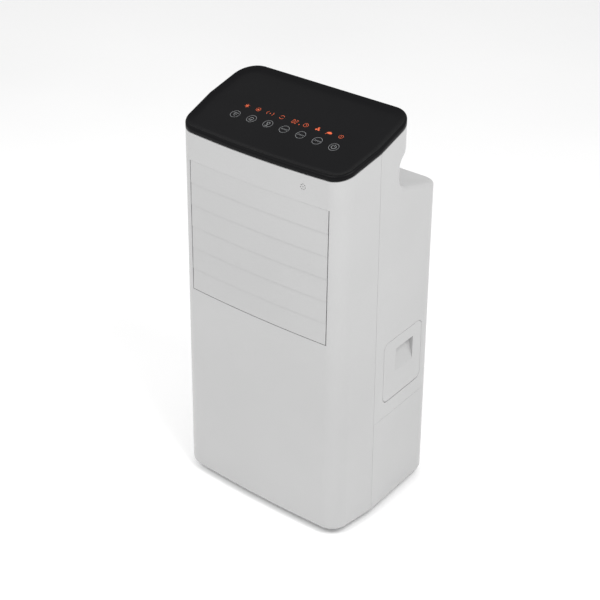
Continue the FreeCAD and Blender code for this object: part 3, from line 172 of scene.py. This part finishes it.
def moulded(name, colour, roughness, grain=0.00004, grain_scale=1400, variation=0.02, coat=0.0,
            coat_roughness=0.25, specular=0.5):
    """Injection-moulded plastic: a spark-eroded grain, faint flow clouds and uneven sheen."""
    make = Nodes(name)
    clouds = make.noise(7, 2)
    make.colour(make.ramp(clouds, tint(colour, 1 - variation), tint(colour, 1 + variation)))
    sheen = make.noise(26, 3)
    make.rough(make.between(sheen, roughness - 0.035, roughness + 0.035))
    make.bump(make.noise(grain_scale, 2), grain, 0.6)
    make.set(Coat_Weight=coat, Coat_Roughness=coat_roughness, Specular_IOR_Level=specular)
    return make.material


def metal(name, colour, roughness, direction):
    """Drawn or ground metal, with fine lines along one direction."""
    make = Nodes(name)
    lines = make.noise(60, 4, make.stretched(direction))
    make.colour(make.ramp(lines, tint(colour, 0.8), tint(colour, 1.1)))
    make.rough(make.between(lines, roughness - 0.08, roughness + 0.12))
    make.bump(lines, 0.00004, 0.5)
    make.set(Metallic=1.0)
    return make.material


def rubber(name, colour):
    make = Nodes(name)
    dust = make.noise(55, 5)
    make.colour(make.ramp(dust, tint(colour, 0.8), tint(colour, 1.7)))
    make.rough(make.between(dust, 0.62, 0.85))
    make.bump(make.noise(1100, 3), 0.00008, 0.7)
    return make.material


def mesh_cloth(name, colour):
    """Woven filter mesh: two crossed rows of threads."""
    make = Nodes(name)
    weave = make.math("MULTIPLY", make.wave(260, "X"), make.wave(260, "Z"))
    make.colour(make.ramp(weave, tint(colour, 0.35), tint(colour, 1.3), 0.1, 0.6))
    make.rough(make.between(weave, 0.9, 0.7))
    make.bump(weave, 0.0002)
    return make.material


def pad_paper(name, colour):
    """Corrugated cellulose: slanted flutes one way, then the other, with fibres."""
    make = Nodes(name)
    mapping = make.add("ShaderNodeMapping")
    mapping.inputs["Rotation"].default_value = (0, math.radians(45), 0)
    make.join(make.place, mapping.inputs["Vector"])
    flutes = make.wave(45, "X", mapping.outputs["Vector"], 0.6)
    crossed = make.wave(45, "Z", mapping.outputs["Vector"], 0.6)
    cells = make.math("MULTIPLY", flutes, crossed)
    make.colour(make.ramp(cells, tint(colour, 0.25), tint(colour, 1.35), 0.1, 0.7))
    make.rough(make.between(make.noise(300, 4), 0.8, 0.98))
    make.bump(cells, 0.0018)
    return make.material


def board(name, colour):
    """Circuit board: solder mask with straight lighter tracks."""
    make = Nodes(name)
    bricks = make.add("ShaderNodeTexBrick")
    bricks.inputs["Scale"].default_value = 90
    bricks.inputs["Mortar Size"].default_value = 0.03
    bricks.inputs["Color1"].default_value = (*tint(colour, 0.9), 1)
    bricks.inputs["Color2"].default_value = (*tint(colour, 1.1), 1)
    bricks.inputs["Mortar"].default_value = (*tint(colour, 2.4), 1)
    make.join(make.place, bricks.inputs["Vector"])
    make.colour(bricks.outputs["Color"])
    make.rough(make.between(make.noise(120, 3), 0.25, 0.4))
    make.bump(bricks.outputs["Fac"], 0.00006)
    return make.material


def milky(name, colour):
    """Milky soft tube."""
    make = Nodes(name)
    haze = make.noise(40, 3)
    make.colour(make.ramp(haze, tint(colour, 0.85), tint(colour, 1.05)))
    make.rough(make.between(haze, 0.2, 0.35))
    make.bump(make.noise(500, 2), 0.00005)
    make.set(Transmission_Weight=0.35, IOR=1.45, Subsurface_Weight=0.1)
    return make.material


def lit(name, colour, strength):
    """Lettering that a light behind the panel shows through, brighter in random patches."""
    make = Nodes(name)
    glow = make.noise(90, 2)
    bright = make.ramp(glow, tint(colour, 0.82), colour)
    make.colour(bright)
    make.join(bright, make.shader.inputs["Emission Color"])
    make.rough(make.between(glow, 0.3, 0.42))
    make.set(Emission_Strength=strength)
    return make.material


WHITE = (0.405, 0.405, 0.405)
casing_white = moulded("casing_white_moulded", WHITE, 0.36, coat=0.3, coat_roughness=0.1)
louvre_white = moulded("louvre_white_moulded", WHITE, 0.42)
LID_COLOUR = (0.0045, 0.0045, 0.005)
lid_black = moulded("lid_black_satin", LID_COLOUR, 0.42, grain=0.00003, variation=0.06, specular=0.06)
inner_grey = moulded("inner_grey_moulded", (0.30, 0.305, 0.31), 0.5, grain=0.0001, variation=0.05)
duct_white = moulded("duct_white_moulded", (0.47, 0.47, 0.47), 0.5, grain=0.0001, variation=0.04)
mech_black = moulded("mech_black_moulded", (0.03, 0.03, 0.032), 0.48, grain=0.0001, variation=0.08)
key_foam = moulded("key_foam", (0.06, 0.06, 0.06), 0.8, grain=0.0003, grain_scale=700, variation=0.15)
light_guide = moulded("light_guide", (0.65, 0.24, 0.08), 0.25, variation=0.05)
motor_steel = metal("motor_steel_drawn", (0.55, 0.55, 0.56), 0.38, (40, 1, 1))
shaft_steel = metal("shaft_steel_ground", (0.62, 0.62, 0.62), 0.28, (1, 30, 30))
bush_brass = metal("bush_brass_sintered", (0.70, 0.52, 0.24), 0.42, (9, 9, 9))
tyre_rubber = rubber("wheel_rubber", (0.025, 0.025, 0.026))
filter_cloth = mesh_cloth("filter_mesh", (0.10, 0.10, 0.105))
pad_cells = pad_paper("pad_paper", (0.34, 0.24, 0.12))
circuit = board("circuit_board", (0.02, 0.12, 0.05))
tube_milky = milky("tube_milky", (0.72, 0.76, 0.78))

SLOT_LOOKS = {
    "casing_white": casing_white,
    "louvre_white": louvre_white,
    "lid_black": lid_black,
    "inner_grey": inner_grey,
    "mech_black": mech_black,
    "grille_white": casing_white,
    "filter_mesh": filter_cloth,
    "pad_paper": pad_cells,
    "motor_steel": motor_steel,
    "shaft_steel": shaft_steel,
    "brass_bush": bush_brass,
    "rubber_black": tyre_rubber,
    "pipe_clear": tube_milky,
    "circuit_green": circuit,
    "key_springs": key_foam,
    "display_amber": light_guide,
}
slot_of = {part["node"]: part["material_slot"] for part in frame["record"]["subparts"]}
for node_name, cad in frame["nodes"].items():
    look = SLOT_LOOKS[slot_of[node_name]]
    if node_name == "outlet_frame":
        look = duct_white
    for material_slot in cad.material_slots:
        material_slot.material = look


# ---------------------------------------------------------------- pieces

LID_SLOPE = 0.299
LID_FRONT_Y = -105.85
LID_FRONT_Z = 547.0


def lid_plane(y):
    """Height of the lid's seat at a depth, in millimetres."""
    return LID_FRONT_Z + (y - LID_FRONT_Y) * LID_SLOPE


HALF_DEPTH = 113.0
GROUND_GAP = 10.0
BODY_HEIGHT = 590.0
SEAM_HALF_WIDTH = 148.5
SEAM_Y = -33.0
SIDE_DRAFT = 3.85
FRONT_LEAN = 7.15
FRONT_BOW = 3.5
FRONT_SLOPE = 0.1124
REAR_SLOPE = 0.0472
FRONT_RADIUS = 27.0
HEAD_RADIUS = 32.0
HEAD_REAR_Y = 44.0
ARC_STEPS = 14
BOW_STEPS = 24
SIDE_STEPS = 6
SEAT_PASSES = 3


def corner_arc(centre, radius, start, end):
    """Points along an arc, both ends included."""
    return [
        (centre[0] + radius * math.cos(start + (end - start) * step / ARC_STEPS),
         centre[1] + radius * math.sin(start + (end - start) * step / ARC_STEPS))
        for step in range(ARC_STEPS + 1)
    ]


def head_outline(height, inset):
    """The head's outline at one height, moved in by inset. It runs from the middle of the front to its right,
    round the back and home, with the same number of points at every height."""
    rise = (height - GROUND_GAP) / BODY_HEIGHT
    front_y = inset + FRONT_BOW + FRONT_LEAN * rise - HALF_DEPTH
    seam_x = SEAM_HALF_WIDTH - SIDE_DRAFT * rise - inset
    front_x = seam_x - (SEAM_Y - front_y) * FRONT_SLOPE
    rear_y = HEAD_REAR_Y - inset
    rear_x = seam_x - (rear_y - SEAM_Y) * REAR_SLOPE
    front_radius = FRONT_RADIUS - inset
    rear_radius = HEAD_RADIUS - inset
    front_turn = math.atan(FRONT_SLOPE)
    rear_turn = math.atan(REAR_SLOPE)
    reach = front_radius * math.tan((math.pi / 2 - front_turn) / 2)
    rear_reach = rear_radius * math.tan((math.pi / 2 - rear_turn) / 2)
    chord = front_x - reach
    bow_radius = (chord * chord + FRONT_BOW * FRONT_BOW) / (2 * FRONT_BOW)
    right = []
    for step in range(BOW_STEPS + 1):
        x = chord * step / BOW_STEPS
        right.append((x, front_y - FRONT_BOW + bow_radius - math.sqrt(bow_radius * bow_radius - x * x)))
    right += corner_arc((chord, front_y + front_radius), front_radius, -math.pi / 2, -front_turn)[1:]
    end_x, end_y = right[-1]
    for step in range(1, SIDE_STEPS + 1):
        share = step / SIDE_STEPS
        right.append((end_x + (seam_x - end_x) * share, end_y + (SEAM_Y - end_y) * share))
    arc = corner_arc((rear_x - rear_reach, rear_y - rear_radius), rear_radius, rear_turn, math.pi / 2)
    for step in range(1, SIDE_STEPS):
        share = step / SIDE_STEPS
        right.append((seam_x + (arc[0][0] - seam_x) * share, SEAM_Y + (arc[0][1] - SEAM_Y) * share))
    right += arc
    for step in range(1, SIDE_STEPS + 1):
        right.append((arc[-1][0] * (1 - step / SIDE_STEPS), rear_y))
    return right + [(-x, y) for x, y in reversed(right[1:-1])]


def lid_ring(inset, lift):
    """One closed ring of the lid: the outline moved in by inset, at lift above the lid's sloping seat.
    The outline leans with height, so each point's height is found in a few passes."""
    count = len(head_outline(BODY_HEIGHT, inset))
    ring = []
    for index in range(count):
        height = BODY_HEIGHT
        for _ in range(SEAT_PASSES):
            x, y = head_outline(height, inset)[index]
            height = lid_plane(y) + lift
        ring.append((x * MM, y * MM, height * MM))
    return ring


def mesh_piece(name, vertices, faces, material, body, smooth=True):
    """A mesh object with one material that rides on a body."""
    mesh = bpy.data.meshes.new(name)
    mesh.from_pydata(vertices, [], faces)
    mesh.validate()
    made = bmesh.new()
    made.from_mesh(mesh)
    bmesh.ops.recalc_face_normals(made, faces=made.faces)
    made.to_mesh(mesh)
    made.free()
    mesh.materials.append(material)
    for face in mesh.polygons:
        face.use_smooth = smooth
    piece = bpy.data.objects.new(name, mesh)
    bpy.context.scene.collection.objects.link(piece)
    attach(piece, body)
    return piece


# The lid's cross-section in millimetres: insets from its outline, lifts above its sloping seat.
RIM_TOP = 8.1
TRAY_LIFT = 4.6
TRAY_FOOT = 14.0
TRAY_RINGS = (18.0, 30.0, 50.0)
TRAY_SHRINK = 80.0
EDGE_RADIUS = 2.4
EDGE_STEPS = 6
RIM_FLAT_END = 0.5
WALL_START = 0.8
WALL_DROP = 0.15
WALL_CURVE = 2.2
WALL_STEPS = 10
LID_LOW = 1.0
LOW_CHAMFER = 0.35
SKIRT_INSET = 3.4
SKIRT_INNER_INSET = 5.5
SKIRT_LOW = -6.0
SKIRT_INNER_TOP = 2.4


def lid_profile():
    """The lid's cross-section as (inset, lift) pairs, from its skirt round the rim to the tray's floor."""
    profile = [
        (SKIRT_INNER_INSET, SKIRT_INNER_TOP),
        (SKIRT_INNER_INSET, SKIRT_LOW),
        (SKIRT_INSET, SKIRT_LOW),
        (SKIRT_INSET, LID_LOW),
        (LOW_CHAMFER, LID_LOW),
        (0.0, LID_LOW + LOW_CHAMFER),
    ]
    for step in range(EDGE_STEPS + 1):
        angle = math.pi / 2 * step / EDGE_STEPS
        inset = EDGE_RADIUS * (1 - math.cos(angle))
        profile.append((inset, RIM_TOP - EDGE_RADIUS * (1 - math.sin(angle))))
    profile.append((EDGE_RADIUS + RIM_FLAT_END, RIM_TOP))
    start = EDGE_RADIUS + WALL_START
    for step in range(WALL_STEPS + 1):
        share = step / WALL_STEPS
        fall = (1 - share) ** WALL_CURVE
        inset = start + (TRAY_FOOT - start) * share
        profile.append((inset, TRAY_LIFT + (RIM_TOP - WALL_DROP - TRAY_LIFT) * fall))
    for inset in TRAY_RINGS:
        profile.append((inset, TRAY_LIFT))
    return profile


def tray_ring(inset, lift):
    """Inner rings of the tray shrink towards the middle, since the corner arcs run out of radius."""
    if inset <= TRAY_FOOT:
        return lid_ring(inset, lift)
    base = lid_ring(TRAY_FOOT, lift)
    middle_y = (LID_FRONT_Y + HEAD_REAR_Y) / 2
    share = 1 - (inset - TRAY_FOOT) / TRAY_SHRINK
    ring = []
    for x, y, _ in base:
        new_y = middle_y + (y / MM - middle_y) * share
        ring.append((x * share, new_y * MM, (lid_plane(new_y) + lift) * MM))
    return ring


def add_lid():
    """The black touch lid: rounded rim, concave inner wall and a flat tray."""
    vertices = []
    faces = []
    rings = [tray_ring(inset, lift) for inset, lift in lid_profile()]
    count = len(rings[0])
    for ring in rings:
        vertices += ring
    for level in range(len(rings) - 1):
        for index in range(count):
            following = (index + 1) % count
            low = level * count
            high = low + count
            faces.append((low + index, low + following, high + following, high + index))
    faces.append(tuple(range((len(rings) - 1) * count, len(rings) * count)))
    faces.append(tuple(reversed(range(count))))
    lid = mesh_piece("lid_skin", vertices, faces, lid_black, "casing")
    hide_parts("touch_lid")
    return lid


add_lid()


# ---------------------------------------------------------------- symbols on the tray

slope_angle = math.atan(LID_SLOPE)
SYMBOL_LIFT = TRAY_LIFT * math.cos(slope_angle)
SYMBOL_THICK = 0.04
SYMBOL_SINK = 0.05
tray_turn = Matrix.Rotation(slope_angle, 4, "X")
tray_place = Matrix.Translation((0, LID_FRONT_Y * MM, LID_FRONT_Z * MM)) @ tray_turn


class Symbols:
    """Thin flat shapes on the tray, gathered into one mesh.

    Places are millimetres: x, and s for the distance up the slope. Angles are degrees."""

    def __init__(self):
        self.vertices = []
        self.faces = []

    def strip(self, outer, inner=None):
        """A thin plate: a closed outline, or the band between two outlines of equal length."""
        base = len(self.vertices)
        count = len(outer)
        low = SYMBOL_LIFT - SYMBOL_SINK
        high = SYMBOL_LIFT + SYMBOL_THICK
        if inner is None:
            for level in (low, high):
                self.vertices += [tray_place @ Vector((x * MM, s * MM, level * MM)) for x, s in outer]
            self.faces.append(tuple(base + count + i for i in range(count)))
            self.faces.append(tuple(base + i for i in reversed(range(count))))
            for i in range(count):
                j = (i + 1) % count
                self.faces.append((base + i, base + j, base + count + j, base + count + i))
            return
        for outline, level in ((outer, low), (outer, high), (inner, high), (inner, low)):
            self.vertices += [tray_place @ Vector((x * MM, s * MM, level * MM)) for x, s in outline]
        for i in range(count):
            j = (i + 1) % count
            for ring in range(4):
                a = base + ring * count
                b = base + (ring + 1) % 4 * count
                self.faces.append((a + i, a + j, b + j, b + i))

    def ring(self, x, s, radius, width, steps=40):
        turn = [2 * math.pi * i / steps for i in range(steps)]
        self.strip(
            [(x + radius * math.cos(t), s + radius * math.sin(t)) for t in turn],
            [(x + (radius - width) * math.cos(t), s + (radius - width) * math.sin(t)) for t in turn],
        )

    def disc(self, x, s, radius, steps=24):
        turn = [2 * math.pi * i / steps for i in range(steps)]
        self.strip([(x + radius * math.cos(t), s + radius * math.sin(t)) for t in turn])

    def bar(self, x0, s0, x1, s1, width):
        along = Vector((x1 - x0, s1 - s0)).normalized() * width / 2
        side = Vector((-along.y, along.x))
        start = Vector((x0, s0)) - along
        end = Vector((x1, s1)) + along
        corners = [start - side, start + side, end + side, end - side]
        self.strip([(corner.x, corner.y) for corner in corners])

    def arc(self, x, s, radius, start, end, width, steps=14):
        points = [math.radians(start + (end - start) * i / steps) for i in range(steps + 1)]
        outer = [(x + radius * math.cos(t), s + radius * math.sin(t)) for t in points]
        inner = [(x + (radius - width) * math.cos(t), s + (radius - width) * math.sin(t)) for t in points]
        self.strip(outer + inner[::-1])

    def finish(self, name, material):
        piece = mesh_piece(name, self.vertices, self.faces, material, "casing", smooth=False)
        return piece


KEY_SLOPE = 58.0
KEY_PITCH = 27.6
KEY_SHIFT = 0.8
KEY_RADIUS = 7.0
LINE = 0.42
FINE = 0.6

LAST_KEY = 3
KEY_BOW = 1.9


def key_place(key):
    """Centre of a touch circle, counted from the middle one; the row's middle lies farther up the slope."""
    return key * KEY_PITCH + KEY_SHIFT, KEY_SLOPE + KEY_BOW * (1 - (key / LAST_KEY) ** 2)


touch_marks = Symbols()
for key in range(-LAST_KEY, LAST_KEY + 1):
    touch_marks.ring(*key_place(key), KEY_RADIUS, LINE)


def key_glyphs(marks):
    """A simple sign in each touch circle."""
    x, s = key_place(-3)
    marks.bar(x - 3.6, s + 2.6, x + 3.6, s + 2.6, FINE)
    marks.bar(x - 2.4, s, x + 2.4, s, FINE)
    marks.bar(x - 1.2, s - 2.6, x + 1.2, s - 2.6, FINE)
    x, s = key_place(-2)
    marks.arc(x, s - 0.6, 3.4, 20, 160, FINE)
    marks.bar(x - 3.6, s - 1.4, x + 3.6, s - 1.4, FINE)
    marks.bar(x - 2.0, s - 3.4, x + 2.0, s - 3.4, FINE)
    x, s = key_place(-1)
    marks.ring(x, s + 1.4, 2.4, FINE, 24)
    marks.bar(x, s - 1.2, x, s - 4.2, FINE)
    marks.bar(x - 2.4, s - 4.2, x + 2.4, s - 4.2, FINE)
    for place in (0, 1, 2):
        x, s = key_place(place)
        for step in range(4):
            left = x - 4.2 + step * 2.6
            marks.bar(left, s - 0.9, left + 1.1, s + 0.9, FINE)
    x, s = key_place(3)
    marks.arc(x, s, 3.6, 125, 415, FINE, 24)
    marks.bar(x, s + 1.4, x, s + 4.4, FINE)


key_glyphs(touch_marks)
mark_grey = lit("touch_mark_grey", (0.22, 0.225, 0.23), 0.04)
touch_marks.finish("touch_marks", mark_grey)

DISPLAY_SLOPE = 79.0


def digit(marks, x, s, lit_segments, width=2.7, height=6.4, thick=0.5):
    """A seven-segment digit; the segments are a to g, clockwise from the top, g in the middle."""
    half = width / 2
    rise = height / 2
    segments = {
        "a": (x - half, s + rise, x + half, s + rise),
        "b": (x + half, s + rise, x + half, s),
        "c": (x + half, s, x + half, s - rise),
        "d": (x - half, s - rise, x + half, s - rise),
        "e": (x - half, s, x - half, s - rise),
        "f": (x - half, s + rise, x - half, s),
        "g": (x - half, s, x + half, s),
    }
    for name in lit_segments:
        marks.bar(*segments[name], thick)


# Middles of the lit symbols across the lid.
FROST_X = -78.5
HUMIDITY_X = -58.8
SWING_X = -38.3
TURN_X = -18.1
TENS_X = 1.3
UNITS_X = 6.1
POINT_X = 12.6
TIMER_X = 22.0
FAN_X = 41.8
LEAF_X = 61.0
RING_X = 79.4
THIN = 0.5
ARC_WIDTH = 0.55
FROST_REACH = 3.4
SWING_SPLIT = 2.3
FAN_REACH = 2.3


def display_symbols(marks):
    """The row of lit symbols: frost, humidity, swing, turning air, two digits, timer, fan, leaf and ring."""
    s = DISPLAY_SLOPE
    for turn in range(3):
        angle = math.radians(60 * turn + 30)
        dx, ds = FROST_REACH * math.cos(angle), FROST_REACH * math.sin(angle)
        marks.bar(FROST_X - dx, s - ds, FROST_X + dx, s + ds, THIN)
    marks.ring(FROST_X, s, 2.0, THIN, 18)
    marks.ring(HUMIDITY_X, s, 3.5, THIN, 26)
    marks.disc(HUMIDITY_X, s - 0.3, 1.3)
    marks.arc(SWING_X - SWING_SPLIT, s, 3.4, 120, 240, ARC_WIDTH)
    marks.arc(SWING_X + SWING_SPLIT, s, 3.4, -60, 60, ARC_WIDTH)
    marks.disc(SWING_X, s, 0.8)
    marks.arc(TURN_X, s, 3.6, 20, 160, ARC_WIDTH)
    marks.arc(TURN_X, s, 3.6, 200, 340, ARC_WIDTH)
    digit(marks, TENS_X, s, "abcdef")
    digit(marks, UNITS_X, s, "abged")
    marks.disc(POINT_X, s - 3.0, 0.8)
    marks.ring(TIMER_X, s, 3.7, THIN, 26)
    marks.bar(TIMER_X, s, TIMER_X, s + 2.3, THIN)
    marks.bar(TIMER_X, s, TIMER_X + 1.7, s, THIN)
    for turn in range(3):
        angle = math.radians(120 * turn + 90)
        marks.disc(FAN_X + FAN_REACH * math.cos(angle), s + FAN_REACH * math.sin(angle), 1.5, 14)
    marks.disc(FAN_X, s, 0.9, 12)
    leaf = []
    for step in range(20):
        turn = 2 * math.pi * step / 20
        leaf.append((LEAF_X + 3.8 * math.cos(turn) * (1 - 0.25 * math.sin(turn)), s + 2.1 * math.sin(turn)))
    marks.strip(leaf)
    marks.bar(LEAF_X - 3.4, s - 1.8, LEAF_X - 4.6, s - 3.2, 0.7)
    marks.ring(RING_X, s, 3.4, THIN, 26)
    marks.bar(RING_X, s - 1.4, RING_X, s + 1.4, ARC_WIDTH)


amber_lights = Symbols()
display_symbols(amber_lights)
amber_glow = lit("amber_glow", (0.42, 0.062, 0.016), 0.7)
amber_lights.finish("amber_symbols", amber_glow)


# ---------------------------------------------------------------- painted shade in the sensor holes

# Known fault: the CAD measures 520.6 up the leaning face, from GROUND_GAP. Used here as a height above the
# floor, it puts these black plugs of painted shade about 10 mm below the sensor holes and just inside the
# wall, out of sight.
SENSOR_X = 77.6
SENSOR_HEIGHT = 520.6
SENSOR_RING = 3.6
SENSOR_HOLE = 0.95
SENSOR_RING_COUNT = 7
SENSOR_PROUD = 0.06
SENSOR_THICK = 1.2
SENSOR_STEPS = 16
FRONT_SLANT = FRONT_LEAN / BODY_HEIGHT


def front_surface(x, height):
    """Depth of the casing's leaning, bowed front face.

    Near the sensor it is about 0.14 mm behind the true face."""
    chord = SEAM_HALF_WIDTH - SIDE_DRAFT - (SEAM_Y + HALF_DEPTH) * FRONT_SLOPE - FRONT_RADIUS
    return FRONT_SLANT * (height - GROUND_GAP) - HALF_DEPTH + FRONT_BOW * (x / chord) ** 2


def add_sensor_hole_shade():
    """Eight near-black plugs meant for the sensor holes, as painted shade for the dark inside of the holes;
    see the known fault above.
    """
    places = [(SENSOR_X, SENSOR_HEIGHT)]
    for index in range(SENSOR_RING_COUNT):
        angle = 2 * math.pi * index / SENSOR_RING_COUNT
        x = SENSOR_X + SENSOR_RING * math.sin(angle)
        places.append((x, SENSOR_HEIGHT + SENSOR_RING * math.cos(angle)))
    vertices = []
    faces = []
    steps = SENSOR_STEPS
    for x, height in places:
        base = len(vertices)
        front_y = front_surface(x, height)
        for depth in (-SENSOR_PROUD, SENSOR_THICK - SENSOR_PROUD):
            for step in range(steps):
                angle = 2 * math.pi * step / steps
                across = SENSOR_HOLE * math.cos(angle)
                up = SENSOR_HOLE * math.sin(angle)
                y = front_y + depth + up * FRONT_SLANT
                vertices.append(((x + across) * MM, y * MM, (height + up) * MM))
        faces.append(tuple(base + step for step in range(steps)))
        faces.append(tuple(base + steps + step for step in reversed(range(steps))))
        for step in range(steps):
            following = (step + 1) % steps
            faces.append((base + step, base + steps + step, base + steps + following, base + following))
    # painted shade: near-black plugs stand in for the darkness inside the sensor holes
    hole_shade = mesh_piece("sensor_hole_shade", vertices, faces, mech_black, "casing", smooth=False)


add_sensor_hole_shade()


# ---------------------------------------------------------------- stage and light


FLOOR_REACH = 12
FLOOR_GLOW = 0.12
LIGHT_TARGET = (0, 0, 0.55)
KEY_LIGHT = (0.95, -0.25, 1.45)
FRONT_LIGHT = (-0.25, -1.15, 1.5)
SKY = 0.76


def add_floor():
    mesh = bpy.data.meshes.new("floor")
    reach = FLOOR_REACH
    corners = [(-reach, -reach, 0), (reach, -reach, 0), (reach, reach, 0), (-reach, reach, 0)]
    mesh.from_pydata(corners, [], [(0, 1, 2, 3)])
    floor = bpy.data.objects.new("floor", mesh)
    bpy.context.scene.collection.objects.link(floor)
    make = Nodes("floor_pale")
    make.colour(make.ramp(make.noise(1.5, 2), (0.9, 0.9, 0.9), (0.93, 0.93, 0.93)))
    make.set(Roughness=0.9, Emission_Color=(1, 1, 1, 1), Emission_Strength=FLOOR_GLOW)
    mesh.materials.append(make.material)


def add_light(name, place, target, size, power):
    data = bpy.data.lights.new(name, "AREA")
    data.shape = "RECTANGLE"
    data.size, data.size_y = size
    data.energy = power
    light = bpy.data.objects.new(name, data)
    light.location = place
    light.rotation_euler = (Vector(target) - Vector(place)).to_track_quat("-Z", "Y").to_euler()
    bpy.context.scene.collection.objects.link(light)


add_floor()
add_light("key", KEY_LIGHT, LIGHT_TARGET, (0.7, 0.7), 14.2)
add_light("front", FRONT_LIGHT, LIGHT_TARGET, (0.9, 0.6), 11.7)
world = bpy.data.worlds.new("studio")
world.use_nodes = True
world.node_tree.nodes["Background"].inputs["Color"].default_value = (1, 1, 1, 1)
world.node_tree.nodes["Background"].inputs["Strength"].default_value = SKY
bpy.context.scene.world = world
bpy.context.scene.view_settings.view_transform = "Standard"
